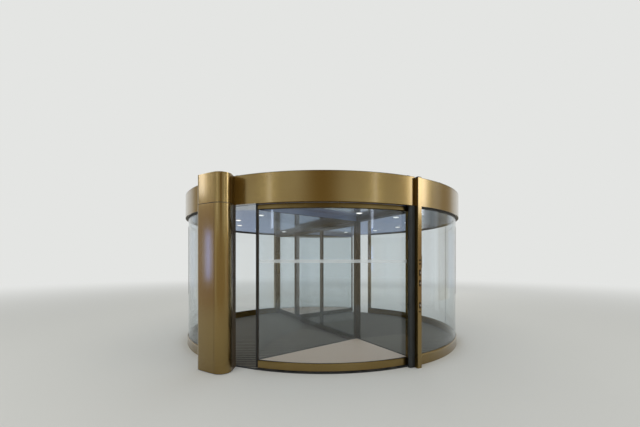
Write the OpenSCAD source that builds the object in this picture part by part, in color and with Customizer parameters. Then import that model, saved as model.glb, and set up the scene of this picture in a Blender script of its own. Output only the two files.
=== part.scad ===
// Two-wing automatic revolving door: a glazed drum with a canopy and one service column,
// and a rotor with two glazed showcases and a pair of sliding leaves across its middle.
// Millimetres. The drum's axis is the Z axis, the floor is z = 0, the room side is -Y.
// Plan angles are counted from the room side (-Y) towards +X, so they grow as the rotor turns.

/* [Canopy and drum] */
// Outside diameter of the canopy
canopy_d = 5950; // [5700:10:6300]
// Clear height under the canopy
passage_h = 2500; // [2300:10:2800]
// Height of the canopy's fascia
canopy_h = 440; // [380:10:600]
// Thickness of the folded fascia sheet
fascia_t = 4; // [3:1:6]
// Width of the return along the fascia's top edge
fascia_return = 40; // [30:5:60]
// Height of the hem strip along the fascia's lower edge
fascia_hem = 38; // [25:1:60]
// How far the wall rails stand back from the fascia's face
wall_setback = 37; // [25:1:60]
// Thickness of the wall rails
wall_t = 42; // [36:2:50]
// Height of the rail at the foot of the wall
wall_rail_h = 168; // [100:1:220]
// Height of the seal at the head of the wall
head_seal_h = 24; // [20:1:40]
// Thickness of the laminated glass
glass_t = 12; // [8:1:16]
// How deep the glass stands in the pockets of its rails
glass_bite = 8; // [5:1:12]
// Width of the gasket on each side of the glass in its pocket
gasket_w = 1; // [1:0.5:3]

/* [Entrance mat] */
// Thickness of the entrance mat
mat_t = 12; // [8:1:20]
// Distance from one row of the mat to the next
mat_pitch = 54; // [40:1:90]
// Width of the open groove between two rows
mat_groove = 8; // [5:1:12]
// Width of the frame round the mat
mat_frame = 25; // [15:1:40]

/* [Posts] */
// Plan angle of the room-side post where a wing enters the wall
post_angle = 29.4; // [28:0.1:32]
// Width of the finned posts
fin_w = 80; // [50:1:90]
// How far a fin stands out beyond the fascia
fin_out = 63; // [20:1:80]
// How far a fin stops below the canopy's top
fin_drop = 15; // [10:5:60]
// Radius of a fin's two outer edges
fin_round = 5; // [2:1:10]
// Plan angle of the plain street-side post, from the street axis
plain_post_angle = 31.6; // [30:0.1:34]
// Width of the plain street-side post
plain_post_w = 96; // [70:1:120]
// Width of the safety rubber on a finned post, along the wall
rubber_w = 92; // [80:1:120]
// How far a safety rubber stands out beyond the wall
rubber_out = 32; // [0:1:36]

/* [Controls on the room-side post] */
// Height of the lower of the two round switches
switch_z = 1600; // [1400:10:1800]
// Distance from one round switch to the next
switch_pitch = 55; // [40:1:80]
// Radius of a round switch
switch_r = 12; // [8:1:16]
// Height of the middle of the lower lock plate
lock_z = 1303; // [1100:1:1350]
// Distance from one lock plate to the next
lock_pitch = 161; // [130:1:200]
// Height of a lock plate
plate_h = 100; // [70:1:120]
// Width of a lock plate
plate_w = 28; // [20:1:36]
// Height of the lower push button
button_z = 866; // [700:1:950]
// Distance from one push button to the next
button_pitch = 98; // [60:1:140]

/* [Service column] */
// Distance from the drum's middle to the column's face in the opening
jamb_x = 1355; // [1340:1:1400]
// How far the column stands out beyond the fascia
column_out = 334; // [250:1:400]
// Plan angle of the column's far side
column_angle = 35.8; // [34:0.1:38]
// Radius of the column's upright corner in the opening
jamb_round = 150; // [60:5:180]
// Radius of the column's upright corner on its far side
column_round = 85; // [40:5:110]
// Plan angle of the upright seam in the column's cladding
column_seam = 28.5; // [27:0.5:30]
// Width and depth of that seam
seam_w = 4; // [3:1:6]
// Depth of the outlet grille in the column's opening face
grille_depth = 170; // [80:5:200]
// Width of the outlet grille behind the opening face
grille_w = 90; // [70:5:120]
// Distance from one louvre of the grille to the next
louvre_pitch = 40; // [30:1:60]
// Height of the recessed joints at the column's foot and head
column_joint = 8; // [4:1:16]

/* [Rotor] */
// Plan angle of the wing at rest
wing_angle = 29.3; // [28.5:0.1:30]
// Angle between the wing and the showcase's nose
showcase_angle = 49.7; // [40:0.1:52]
// Gap between the rotor's rails and the drum wall
rotor_gap = 16; // [14:1:24]
// Height of the rotor's lower rails
rail_h = 108; // [80:1:140]
// Height of the lower rails above the floor
rail_lift = 33; // [28:1:60]
// Height of the rotor's upper rails
top_rail_h = 50; // [40:1:70]
// Depth of the shadow gap over the upper rails
top_gap = 28; // [15:1:40]
// Thickness of the rotor's rails and leaves
frame_t = 44; // [36:2:50]
// Width of an apex post along the wing
apex_w = 70; // [50:1:90]
// Depth of an apex post across the wing
apex_d = 80; // [60:1:100]
// Diameter of the showcase's nose stile
nose_d = 48; // [40:1:60]
// Length of an end stile along the wing
end_stile_l = 50; // [40:1:130]
// Thickness of the showcase floor
showcase_floor_t = 18; // [12:1:30]
// Thickness of the turning ceiling
ceiling_t = 30; // [20:1:50]
// Number of ceiling spots
spot_count = 13; // [8:1:13]
// Distance of the spots from the rotor's axis
spot_r = 1960; // [1850:10:2050]
// Diameter of a ceiling spot
spot_d = 110; // [80:1:130]

/* [Sliding leaves and their track] */
// Width of one sliding leaf
leaf_w = 1500; // [1490:5:1560]
// How far a closed leaf laps the apex post
leaf_lap = 53; // [45:1:70]
// Gap between the meeting stiles
leaf_gap = 6; // [5:1:12]
// Width of the leaf's stiles
leaf_stile_w = 45; // [35:1:60]
// Height of the leaf's upper rail
leaf_top_h = 60; // [40:1:90]
// Running clearance round the leaves
leaf_clear = 8; // [6:1:12]
// Width of the header that carries the leaves
header_w = 160; // [150:2:180]
// Wall thickness of the header profile
header_wall = 4; // [3:1:6]
// Width of the slot that the hangers run in
slot_w = 22; // [20:1:26]
// Radius of a hanger's wheels
wheel_r = 18; // [15:1:20]
// Width of a hanger's wheels
wheel_w = 16; // [12:1:18]
// Radius of the rail beads that the wheels run on
bead_r = 4; // [3:0.5:5]
// Distance between the two axles of a hanger
axle_pitch = 60; // [50:1:90]
// Thickness of a hanger's plate
hanger_t = 10; // [8:1:12]

/* [Carrying structure] */
// Radius of the rotor's shaft
shaft_r = 90; // [70:5:120]
// Radius of the flange that carries the ceiling
flange_r = 270; // [200:5:290]
// Wall thickness of the bearing housing
housing_t = 60; // [40:5:80]
// Thickness of the housing's plate and of the shaft's flange
plate_t = 20; // [12:1:30]
// Width of the canopy's cross beams
beam_w = 100; // [80:5:140]
// Height of the canopy's cross beams
beam_h = 140; // [100:5:180]
// Thickness of the beams' webs and flanges and of the ring's sheet
section_t = 8; // [6:1:12]

/* [Hidden] */
$fn = 96;

bronze = "#84703F";
dark_bronze = "#4A3B20";
black = "#20282A";
glass_tint = [0.72, 0.80, 0.78, 0.35];
steel = "#8C8F90";
beige = "#B8AC9A";

seat = 0.3;                                    // gap between two pieces that seat on each other
fit = 0.1;                                     // radial clearance of the shaft in its bearing
band_gap = 1;                                  // half the open joint between two fascia bands
cut = 1;                                       // how far a cut runs past the face that it opens
far = 9000;                                    // reach of the wedges that cut the rings
fine = 180;                                    // facets of the drum's large circles
finest = 360;                                  // facets of the circles that cut other outlines

// Drum
canopy_r = canopy_d / 2;
canopy_top = passage_h + canopy_h;
wall_out = canopy_r - wall_setback;
wall_in = wall_out - wall_t;
wall_mid = (wall_in + wall_out) / 2;
pocket_w = glass_t + 2 * gasket_w;             // width of the pocket that holds a glass edge
wall_bead = 10;                                // height of the bead's slope on a wall rail
seal_inset = 6;                                // how far the head seal stays inside the wall
seal_bead = 2;                                 // height of the slope on a head seal
hem_line = [1.5, 3];                           // depth and height of the line over the hem
return_lip = 15;                               // down-turned lip of the fascia's return
clip = [26, 40, 14];                           // holding clip on the fascia: depth, width, height
clip_slope = [10, 6];                          // depth and height of a clip's sloping front
clip_back = 4;                                 // how far a clip stands back from the face
clip_near = 26.3;                              // plan angle of the clips beside the openings
clip_far = 41.4;                               // plan angle of the clips beyond the posts
ring_back = 6;                                 // how far the ring stays inside the wall's face
ring_out = wall_out - ring_back;
ring_z = passage_h + fascia_t + seat;
roof_t = 5;
roof_drop = 60;                                // how far the roof lies below the fascia's top
roof_z = canopy_top - roof_drop;
roof_joint = 6;                                // open joint between the roof's sheets
mat_r = wall_in - seat;
groove_h = 4;                                  // depth of the mat's grooves
fin_r = canopy_r + fin_out;
plain_proud = 8;                               // how far the plain post stands out of the wall
bulb_thin = 2;                                 // how far a rubber stands back from the wall's inside
rubber_grooves = [0.35, 0.75];                 // places of a rubber's grooves along its width
rubber_groove_r = 3;
street_fin_angle = post_angle + 180;
plain_angle = 180 - plain_post_angle;
outer_r = canopy_r + column_out;               // the column's outer face
grille_angle = asin((jamb_x + grille_w) / wall_mid);
column_middle = (column_seam + column_angle) / 2;
louvre_edge = 14;                              // plain edge round the grille's louvres
louvre_depth = 16;
band_angle = (column_angle + grille_angle) / 2;
right_from = post_angle + asin(fin_w / 2 / wall_in);
right_to = plain_angle - asin(plain_post_w / 2 / wall_in);
left_from = street_fin_angle - 360 + asin(fin_w / 2 / wall_in);
left_to = -grille_angle - asin(seat / wall_in);

// Controls
plate_thick = 3;                               // thickness of a lock plate
plate_round = plate_w / 2 - 1;
switch_flange = [3, 2];                        // width and thickness of a round switch's flange
switch_edge = 2;                               // slope round a switch's face
lock_r = 9;                                    // radius of a lock cylinder
control_out = 8;                               // how far a lock or button stands out
switch_out = 10;                               // how far a round switch stands out
reader = [18, 12, 185];                        // narrow reader on the fin's side
reader_back = 8;                               // how far the reader stands back from the fin's face
reader_z = switch_z - reader[2] / 3;

// Rotor
rotor_r = wall_in - rotor_gap;
rail_top = rail_lift + rail_h;
rail_bead = 8;                                 // height of the bead's slope on a rotor rail
neck_back = 18;                                // how far the neck over an upper rail stands back
head_z = passage_h - top_gap - top_rail_h;
brush_t = 10;
brush_clear = [6, 7];                          // gap of the brushes over the mat and at the wall
brush_lift = mat_t + brush_clear[0];
brush_reach = wall_in - brush_clear[1];
brush_slot = 8;                                // depth of the slot that holds an upright brush
screen_y = frame_t / 2 + leaf_clear;           // near face of the side screens, across the wing
screen_mid = -screen_y - frame_t / 2;          // middle of the side screens
stile_back = 10;                               // how far an end stile stays inside the rotor
end_x = rotor_r - end_stile_l - stile_back;    // inner face of the end stiles, along the wing
nose_back = 6;                                 // how far a nose stile stays inside the rotor
nose_r = rotor_r - nose_d / 2 - nose_back;
apex_r = leaf_gap / 2 + leaf_w - leaf_lap;     // inner face of the apex posts, along the wing
apex_round = 6;                                // radius of the apex posts' edges
apex = [apex_r + apex_w / 2, -screen_y - apex_d / 2];
nose = nose_r * [cos(showcase_angle), -sin(showcase_angle)];
slant = nose - apex;
slant_len = norm(slant);
slant_turn = atan2(slant[1], slant[0]);
spot_from = -8;                                // plan angle of the first spot
spot_h = 6;                                    // how far a spot's rim stands below the ceiling
spot_edge = 2;                                 // slope on the rim's outer edge
reflector_w = 6;                               // width of the slope round the lens
lens_r = spot_d / 3;                           // radius of the spot's lens
lens_back = 3.5;                               // how far the lens stands back from the rim
floor_overrun = 1.2;                           // the floors are cut from a plan this much longer

// Leaves and track
leaf_drop = 6;                                 // running gap under the header
leaf_top = head_z - leaf_drop;
track_lip = 6;                                 // thickness of the track's two lips
wheel_y = 22;                                  // middle of a wheel, from the track's middle
wheel_z = head_z + track_lip + seat + wheel_r;
wheel_clear = 7;                               // gap beside a wheel in the track's chamber
cavity_w = 2 * (wheel_y + wheel_w / 2 + wheel_clear);
bore_r = 5;                                    // radius of an axle
axle_head = 8;                                 // radius of an axle's head
axle_proud = 2;                                // how far an axle stands out of its wheels
hanger_rise = 16;                              // height of a hanger's plate over its axles
hanger_foot = axle_pitch / 2 + 20;             // half the plate's length at its foot
hanger_head = axle_pitch / 2 + 10;             // half the plate's length at its top
hanger_share = 0.2;                            // place of the hangers, as a share of the leaf
hanger_places = leaf_w * [hanger_share, 1 - hanger_share];

// Carrying structure
beam_drop = 40;                                // gap between the beams and the roof
beam_gap = 110;                                // gap between the shaft and a beam
beam_z = roof_z - beam_drop - beam_h;
beam_y = shaft_r + beam_gap + beam_w / 2;
beam_r = ring_out - section_t - seat;          // the beams end at the ring's web
housing_z = beam_z + beam_h;
collar = [40, 12];                             // width and thickness of the shaft's collar
collar_z = housing_z + plate_t + seat;
gussets = 8;                                   // ribs between the shaft and its flange
gusset = [150, 120, 8];                        // length, height and thickness of such a rib

// A band that follows the drum: a profile of radius and height turned between two plan angles
module curved(from, to) {
    rotate([0, 0, from - 90]) rotate_extrude(angle = to - from, $fn = fine) children();
}

// A rectangular profile for curved(), from radius r0 to r1 and from height z0 to z1
module band(r0, r1, z0, z1) {
    translate([r0, z0]) square([r1 - r0, z1 - z0]);
}

// A rail profile: glazing beads slope to a pocket in its upper face, where the glass stands
module rail_profile(r0, r1, z0, z1, bead) {
    mid = (r0 + r1) / 2;
    polygon([[r0, z0], [r1, z0], [r1, z1 - bead], [mid + pocket_w / 2 + bead / 2, z1],
             [mid + pocket_w / 2, z1], [mid + pocket_w / 2, z1 - glass_bite],
             [mid - pocket_w / 2, z1 - glass_bite], [mid - pocket_w / 2, z1],
             [mid - pocket_w / 2 - bead / 2, z1], [r0, z1 - bead]]);
}

// The same profile hung upside down, with its pocket in the lower face
module hung_profile(r0, r1, z0, z1, bead) {
    translate([0, z0 + z1]) mirror([0, 1]) rail_profile(r0, r1, z0, z1, bead);
}

// Places a piece drawn along +X at a plan angle
module at_angle(angle) {
    rotate([0, 0, angle - 90]) children();
}

// Draws a rotor piece in the wing's own frame, +X out along the wing, and its twin half a turn on
module both_wings() {
    for (turn = [0, 180]) at_angle(wing_angle + turn) children();
}

// An upright box in the wing's frame or along a post
module block(x0, x1, y0, y1, z0, z1) {
    translate([x0, y0, z0]) cube([x1 - x0, y1 - y0, z1 - z0]);
}

// A rectangle with round corners, from its lowest corner
module round_rect(size, r) {
    translate([r, 0]) square([size[0] - 2 * r, size[1]]);
    translate([0, r]) square([size[0], size[1] - 2 * r]);
    for (x = [r, size[0] - r], y = [r, size[1] - r]) translate([x, y]) circle(r = r, $fn = 32);
}

// Entrance mat: rows across the walking direction in a round frame
module floor_mat() {
    rows = floor(mat_r / mat_pitch);
    color("#5A5C56") difference() {
        cylinder(r = mat_r, h = mat_t, $fn = fine);
        intersection() {
            cylinder(r = mat_r - mat_frame, h = 2 * mat_t, $fn = fine);
            for (row = [-rows : rows])
                block(-far, far, row * mat_pitch - mat_groove / 2, row * mat_pitch + mat_groove / 2,
                      mat_t - groove_h, 2 * mat_t);
        }
    }
}

// Drum wall: rails with a pocket, head seals and two panes a side
module wall_floor_rails() {
    color(bronze) {
        curved(right_from, right_to) rail_profile(wall_in, wall_out, 0, wall_rail_h, wall_bead);
        curved(left_from, left_to) rail_profile(wall_in, wall_out, 0, wall_rail_h, wall_bead);
    }
}

module head_seal(from, to) {
    curved(from, to) hung_profile(wall_in + seal_inset, wall_out - seal_inset,
                                  passage_h - head_seal_h, passage_h - seat, seal_bead);
}

module wall_head_rails() {
    color(black) {
        head_seal(right_from, right_to);
        head_seal(left_from, left_to);
    }
}

// One pane of a wall, number 0 or 1 of the two between the plan angles
module wall_pane(from, to, number) {
    half = (to - from) / 2;
    butt = asin(band_gap / wall_in);
    curved(from + number * (half + butt), from + half - butt + number * (half + butt))
        band(wall_mid - glass_t / 2, wall_mid + glass_t / 2, wall_rail_h - glass_bite + seat,
             passage_h - head_seal_h + glass_bite - seat);
}

module right_glass_1() {
    color(glass_tint) wall_pane(right_from, right_to, 0);
}

module right_glass_2() {
    color(glass_tint) wall_pane(right_from, right_to, 1);
}

module left_glass_1() {
    color(glass_tint) wall_pane(left_from, left_to, 0);
}

module left_glass_2() {
    color(glass_tint) wall_pane(left_from, left_to, 1);
}

// A post with a fin that stands out past the canopy's fascia, its two outer edges rounded
module finned_post() {
    length = fin_r - wall_out;
    block(wall_in, wall_out, -fin_w / 2, fin_w / 2, 0, ring_z - seat);
    linear_extrude(canopy_top - fin_drop) {
        translate([wall_out, -fin_w / 2]) square([length - fin_round, fin_w]);
        translate([wall_out, fin_round - fin_w / 2]) square([length, fin_w - 2 * fin_round]);
        for (side = [-1, 1]) translate([fin_r - fin_round, side * (fin_w / 2 - fin_round)])
            circle(r = fin_round, $fn = 32);
    }
}

module inside_right_post() {
    color(bronze) at_angle(post_angle) finned_post();
}

module street_posts() {
    color(bronze) {
        at_angle(street_fin_angle) finned_post();
        at_angle(plain_angle) block(wall_in, wall_out + plain_proud, -plain_post_w / 2,
                                    plain_post_w / 2, 0, passage_h - seat);
    }
}

// Safety rubber: a flat body clamped to the post, grooved on both faces, with a round nose
module rubber_outline() {
    bulb = (wall_t + rubber_out - bulb_thin) / 2;
    middle = wall_in + bulb_thin + bulb;
    tip = -fin_w / 2 - rubber_w + bulb;
    difference() {
        union() {
            translate([middle - bulb, tip]) square([2 * bulb, rubber_w - bulb - seat]);
            translate([middle, tip]) circle(r = bulb);
        }
        for (side = [-1, 1], share = rubber_grooves)
            translate([middle + side * bulb, tip + share * (rubber_w - bulb)])
                circle(r = rubber_groove_r, $fn = 32);
    }
}

module safety_rubbers() {
    color(black) for (angle = [post_angle, street_fin_angle]) at_angle(angle)
        linear_extrude(passage_h - seat) rubber_outline();
}

// Controls: two round switches, two lock plates, two push buttons and a narrow reader
module round_switch() {
    rotate([0, 90, 0]) rotate_extrude($fn = 32)
        polygon([[0, 0], [switch_r + switch_flange[0], 0], switch_flange + [switch_r, 0],
                 [switch_r, 2 * switch_flange[1]], [switch_r - switch_edge, switch_out],
                 [0, switch_out]]);
}

module lock_plate() {
    rotate([90, 0, 90]) linear_extrude(plate_thick)
        translate([-plate_w / 2, -plate_h / 2]) round_rect([plate_w, plate_h], plate_round);
    rotate([0, 90, 0]) cylinder(r = lock_r, h = control_out, $fn = 32);
}

module control_knobs() {
    color(dark_bronze) at_angle(post_angle) {
        translate([fin_r + seat, 0, 0]) {
            for (k = [0, 1]) {
                translate([0, 0, switch_z + k * switch_pitch]) round_switch();
                translate([0, 0, lock_z + k * lock_pitch]) lock_plate();
                translate([0, 0, button_z + k * button_pitch]) rotate([0, 90, 0])
                    cylinder(r = lock_r, h = control_out, $fn = 32);
            }
        }
        translate([fin_r - reader_back - reader[0], fin_w / 2 + seat, reader_z]) cube(reader);
    }
}

// Service column beside the room-side opening
module jamb_wedge(angle) {
    polygon([[-jamb_x, -jamb_x / tan(angle)], far * [-sin(angle), -cos(angle)],
             [-jamb_x, -far * cos(angle)]]);
}

module column_plan(corner, inset) {
    offset(r = corner - inset, $fn = 72) offset(delta = -corner) intersection() {
        circle(r = outer_r, $fn = finest);
        jamb_wedge(column_angle);
    }
}

// The wide corner in the opening, and the narrower one past the middle of the outer face
module column_outline(inset, inner_r) {
    difference() {
        union() {
            column_plan(jamb_round, inset);
            intersection() {
                column_plan(column_round, inset);
                polygon([[0, 0], far * [-sin(column_middle), -cos(column_middle)],
                         far * [-1, 0]]);
            }
        }
        circle(r = inner_r, $fn = finest);
    }
}

module grille_outline(gap) {
    intersection() {
        circle(r = wall_in + grille_depth + gap, $fn = finest);
        jamb_wedge(grille_angle);
    }
}

// Outlet grille: sloping louvres cut into its face towards the opening
module column_grille() {
    open_h = louvre_pitch / 2;
    inner_y = -sqrt(pow(wall_in, 2) - pow(jamb_x, 2));
    outer_y = -sqrt(pow(wall_in + grille_depth, 2) - pow(jamb_x, 2));
    louvres = floor((passage_h - 2 * louvre_pitch) / louvre_pitch);
    color(black) difference() {
        linear_extrude(passage_h - seat) difference() {
            grille_outline(0);
            circle(r = wall_in, $fn = finest);
        }
        translate([-jamb_x, inner_y - louvre_edge, louvre_pitch]) rotate([90, 0, 0])
            linear_extrude(inner_y - outer_y - 2 * louvre_edge)
                for (k = [0 : louvres - 1]) translate([0, k * louvre_pitch])
                    polygon([[cut, 0], [cut, open_h], [-louvre_depth, open_h + louvre_depth / 2],
                             [-louvre_depth, louvre_depth / 2]]);
    }
}

module column_lower() {
    color(bronze) difference() {
        union() {
            linear_extrude(passage_h - seat) column_outline(column_joint, wall_out + seat);
            translate([0, 0, column_joint]) linear_extrude(passage_h - 2 * column_joint)
                column_outline(0, wall_out + seat);
        }
        translate([0, 0, -cut]) linear_extrude(passage_h + 2 * cut) grille_outline(seat);
        at_angle(-column_seam) block(outer_r - seam_w, outer_r + cut, -seam_w / 2, seam_w / 2,
                                     -cut, passage_h + cut);
    }
}

module column_head() {
    color(bronze) translate([0, 0, passage_h]) linear_extrude(canopy_h)
        column_outline(0, canopy_r + seat);
}

// Canopy fascia: folded sheet with a return and lip on top, a flange below and a hem line
module fascia_profile() {
    top = canopy_top;
    low = passage_h;
    line_z = low + fascia_hem;
    back = canopy_r - fascia_return;
    polygon([[wall_in, low], [canopy_r, low], [canopy_r, line_z],
             [canopy_r - hem_line[0], line_z], [canopy_r - hem_line[0], line_z + hem_line[1]],
             [canopy_r, line_z + hem_line[1]], [canopy_r, top], [back, top],
             [back, top - return_lip], [back + fascia_t, top - return_lip],
             [back + fascia_t, top - fascia_t], [canopy_r - fascia_t, top - fascia_t],
             [canopy_r - fascia_t, low + fascia_t], [wall_in, low + fascia_t]]);
}

// One band between two plan angles, short of them by the two gaps
module fascia(from, to, from_gap, to_gap) {
    color(bronze) curved(from + asin(from_gap / wall_out), to - asin(to_gap / wall_out))
        fascia_profile();
}

module fascia_inside() {
    fascia(-band_angle, post_angle, band_gap, fin_w / 2 + band_gap);
}

module fascia_right() {
    fascia(post_angle, plain_angle, fin_w / 2 + band_gap, band_gap);
}

module fascia_street() {
    fascia(plain_angle, street_fin_angle, band_gap, fin_w / 2 + band_gap);
}

module fascia_left() {
    fascia(street_fin_angle, 360 - band_angle, fin_w / 2 + band_gap, band_gap);
}

// Clips that hold the fascia's return, beside the openings and beyond the finned posts
module fascia_clips() {
    half = asin(clip[1] / 2 / canopy_r);
    face = canopy_r - clip_back;
    low = canopy_top + seat;
    high = canopy_top + clip[2];
    color(black) for (turn = [0, 180], angle = [-clip_near, clip_near, clip_far])
        curved(turn + angle - half, turn + angle + half)
            polygon([[face - clip[0], low], [face, low], [face, high - clip_slope[1]],
                     [face - clip_slope[0], high], [face - clip[0], high]]);
}

// Carrying structure in the closed canopy: a ring of channel section, two I-beams, the bearing
module canopy_ring() {
    color(steel) rotate_extrude($fn = fine) difference() {
        band(wall_in, ring_out, ring_z, roof_z - seat);
        band(wall_in - cut, ring_out - section_t, ring_z + section_t, roof_z - seat - section_t);
    }
}

module canopy_beams() {
    side_cut = (beam_w - section_t) / 2;
    color(steel) intersection() {
        for (side = [-1, 1]) translate([0, side * beam_y, beam_z]) difference() {
            block(-canopy_r, canopy_r, -beam_w / 2, beam_w / 2, 0, beam_h);
            for (face = [-1, 1]) translate([0, face * beam_w / 2, 0])
                block(-far, far, -side_cut, side_cut, section_t, beam_h - section_t);
        }
        cylinder(r = beam_r, h = canopy_top, $fn = finest);
    }
}

module bearing_housing() {
    reach = beam_y + beam_w / 2;
    color(steel) difference() {
        union() {
            block(-reach, reach, -reach, reach, housing_z, housing_z + plate_t);
            translate([0, 0, beam_z]) cylinder(r = shaft_r + housing_t, h = beam_h + plate_t);
        }
        translate([0, 0, beam_z - cut]) cylinder(r = shaft_r + fit, h = beam_h + plate_t + 2 * cut);
    }
}

// Dust cover in four sheets
module roof_cover() {
    color(dark_bronze) translate([0, 0, roof_z]) difference() {
        cylinder(r = ring_out, h = roof_t, $fn = fine);
        block(-far, far, -roof_joint / 2, roof_joint / 2, -cut, roof_t + cut);
        block(-roof_joint / 2, roof_joint / 2, -far, far, -cut, roof_t + cut);
    }
}

// Rotor: shaft with a ribbed flange, ceiling and spots
module rotor_shaft() {
    top = passage_h + ceiling_t;
    color(steel) {
        translate([0, 0, top]) cylinder(r = flange_r, h = plate_t);
        translate([0, 0, top]) cylinder(r = shaft_r, h = collar_z - top);
        translate([0, 0, collar_z]) cylinder(r = shaft_r + collar[0], h = collar[1]);
        for (k = [0 : gussets - 1]) rotate([0, 0, k * 360 / gussets])
            translate([0, gusset[2] / 2, top + plate_t]) rotate([90, 0, 0])
                linear_extrude(gusset[2])
                    polygon([[0, -cut], [shaft_r + gusset[0], -cut], [shaft_r + gusset[0], 0],
                             [shaft_r - cut, gusset[1]], [0, gusset[1]]]);
    }
}

module rotor_ceiling() {
    color("#8D94A2") translate([0, 0, passage_h]) cylinder(r = rotor_r, h = ceiling_t, $fn = fine);
}

// A spot's rim with a sloping reflector round the lens
module ceiling_spots() {
    rim = spot_d / 2;
    color("white") for (k = [0 : spot_count - 1]) at_angle(spot_from + k * 360 / spot_count)
        translate([spot_r, 0, passage_h - seat]) rotate_extrude($fn = 48)
            polygon([[0, 0], [rim, 0], [rim, spot_edge - spot_h], [rim - spot_edge, -spot_h],
                     [lens_r + reflector_w, -spot_h], [lens_r, lens_back - spot_h],
                     [0, lens_back - spot_h]]);
}

// Header: one extruded profile with two rail beads, side chambers and a glazing pocket each side
module header_profile() {
    h = passage_h - head_z;
    floor_t = glass_bite + header_wall;
    side_in = cavity_w / 2 + header_wall;
    side_out = header_w / 2 - header_wall;
    difference() {
        translate([-header_w / 2, 0]) square([header_w, h]);
        translate([-cavity_w / 2, track_lip]) square([cavity_w, h - 2 * track_lip]);
        translate([-slot_w / 2, -cut]) square([slot_w, track_lip + 2 * cut]);
        for (side = [-1, 1]) {
            translate([side * (side_in + side_out) / 2 - (side_out - side_in) / 2, floor_t])
                square([side_out - side_in, h - floor_t - header_wall]);
            translate([side * screen_mid - pocket_w / 2, -cut])
                square([pocket_w, glass_bite + cut]);
        }
    }
    for (side = [-1, 1]) translate([side * wheel_y, track_lip]) circle(r = bead_r, $fn = 32);
}

module header_track() {
    color(dark_bronze) at_angle(wing_angle) translate([-end_x, 0, head_z]) rotate([90, 0, 90])
        linear_extrude(2 * end_x) header_profile();
}

// Rotor: showcases
module nose_stiles() {
    height = passage_h - rail_lift;
    color(black) both_wings() difference() {
        translate([nose[0], nose[1], rail_lift]) cylinder(r = nose_d / 2, h = height);
        translate([nose[0], nose[1], rail_lift - cut]) rotate([0, 0, -showcase_angle])
            block(nose_d / 2 - brush_slot, nose_d, -brush_t / 2 - seat, brush_t / 2 + seat, 0,
                  height + 2 * cut);
    }
}

module end_stiles() {
    outer = end_x + end_stile_l;
    middle = (frame_t - header_w) / 4;
    color(bronze) both_wings() difference() {
        block(end_x, outer, -header_w / 2, frame_t / 2, rail_lift, passage_h);
        block(outer - brush_slot, outer + cut, middle - brush_t / 2 - seat,
              middle + brush_t / 2 + seat, rail_lift - cut, passage_h + cut);
    }
}

module apex_posts() {
    color(bronze) both_wings() translate([apex_r, -screen_y - apex_d, rail_lift])
        linear_extrude(head_z - rail_lift) round_rect([apex_w, apex_d], apex_round);
}

// A curved piece of the showcase, between its nose stile and its end stile, in the wing's frame
module showcase_curve() {
    from = 90 - showcase_angle + asin((nose_d / 2) / nose_r);
    to = 90 - asin((header_w / 2) / end_x);
    curved(from, to) children();
}

module curved_bottom_rails() {
    color(bronze) both_wings() showcase_curve()
        rail_profile(rotor_r - frame_t, rotor_r, rail_lift, rail_top, rail_bead);
}

module curved_top_rails() {
    color(bronze) both_wings() showcase_curve() {
        hung_profile(rotor_r - frame_t, rotor_r, head_z, head_z + top_rail_h, rail_bead);
        band(rotor_r - frame_t, rotor_r - neck_back, head_z + top_rail_h / 2, passage_h);
    }
}

module curved_glass() {
    mid_r = rotor_r - frame_t / 2;
    color(glass_tint) both_wings() showcase_curve()
        band(mid_r - glass_t / 2, mid_r + glass_t / 2, rail_top - glass_bite + seat,
             head_z + glass_bite - seat);
}

// A straight bar of the slanted side, cut where the posts, the header and the curved rail stand
module slant_bar(width, z0, z1) {
    difference() {
        translate([apex[0], apex[1], 0]) rotate([0, 0, slant_turn])
            block(0, slant_len, -width / 2, width / 2, z0, z1);
        block(apex_r, apex_r + apex_w, -screen_y - apex_d, far, 0, head_z);
        block(-end_x, end_x, -header_w / 2, header_w / 2, head_z, passage_h);
        translate([nose[0], nose[1], 0]) cylinder(r = nose_d / 2, h = passage_h);
        difference() {
            cylinder(r = far, h = canopy_top);
            translate([0, 0, -cut])
                cylinder(r = rotor_r - frame_t - seat, h = canopy_top + 2 * cut, $fn = finest);
        }
    }
}

module slant_rails() {
    color(bronze) both_wings() {
        difference() {
            slant_bar(frame_t, rail_lift, rail_top);
            slant_bar(pocket_w, rail_top - glass_bite, rail_top + cut);
        }
        difference() {
            slant_bar(frame_t, head_z, head_z + top_rail_h);
            slant_bar(pocket_w, head_z - cut, head_z + glass_bite);
        }
        slant_bar(frame_t / 2, head_z + top_rail_h, passage_h);
    }
}

module slant_glass() {
    color(glass_tint) both_wings()
        slant_bar(glass_t, rail_top - glass_bite + seat, head_z + glass_bite - seat);
}

module screen_rails() {
    color(bronze) both_wings() translate([apex_r + apex_w, -screen_y - frame_t, 0])
        rotate([90, 0, 90]) linear_extrude(end_x - apex_r - apex_w)
            rail_profile(0, frame_t, rail_lift, rail_top, rail_bead);
}

module screen_glass() {
    color(glass_tint) both_wings()
        block(apex_r + apex_w, end_x, screen_mid - glass_t / 2, screen_mid + glass_t / 2,
              rail_top - glass_bite + seat, head_z + glass_bite - seat);
}

// Display floors, flush with the top of the rails round them
module showcase_floors() {
    back = -screen_y - frame_t - seat;
    side = (frame_t / 2 + seat) / sin(-slant_turn);
    past_nose = apex + floor_overrun * slant;
    color(beige) both_wings() translate([0, 0, rail_top - showcase_floor_t])
        linear_extrude(showcase_floor_t) difference() {
            intersection() {
                circle(r = rotor_r - frame_t - seat, $fn = finest);
                polygon([[apex[0] + side, back], [far, back], past_nose + [far, 0],
                         past_nose + [side, 0], apex + [side, 0]]);
            }
            translate([apex_r - seat, -screen_y - apex_d - seat])
                square([apex_w + 2 * seat, apex_d + 2 * seat]);
            translate([end_x - seat, -header_w / 2 - seat]) square([end_stile_l, header_w]);
            translate(nose) circle(r = nose_d / 2 + seat);
        }
}

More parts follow.
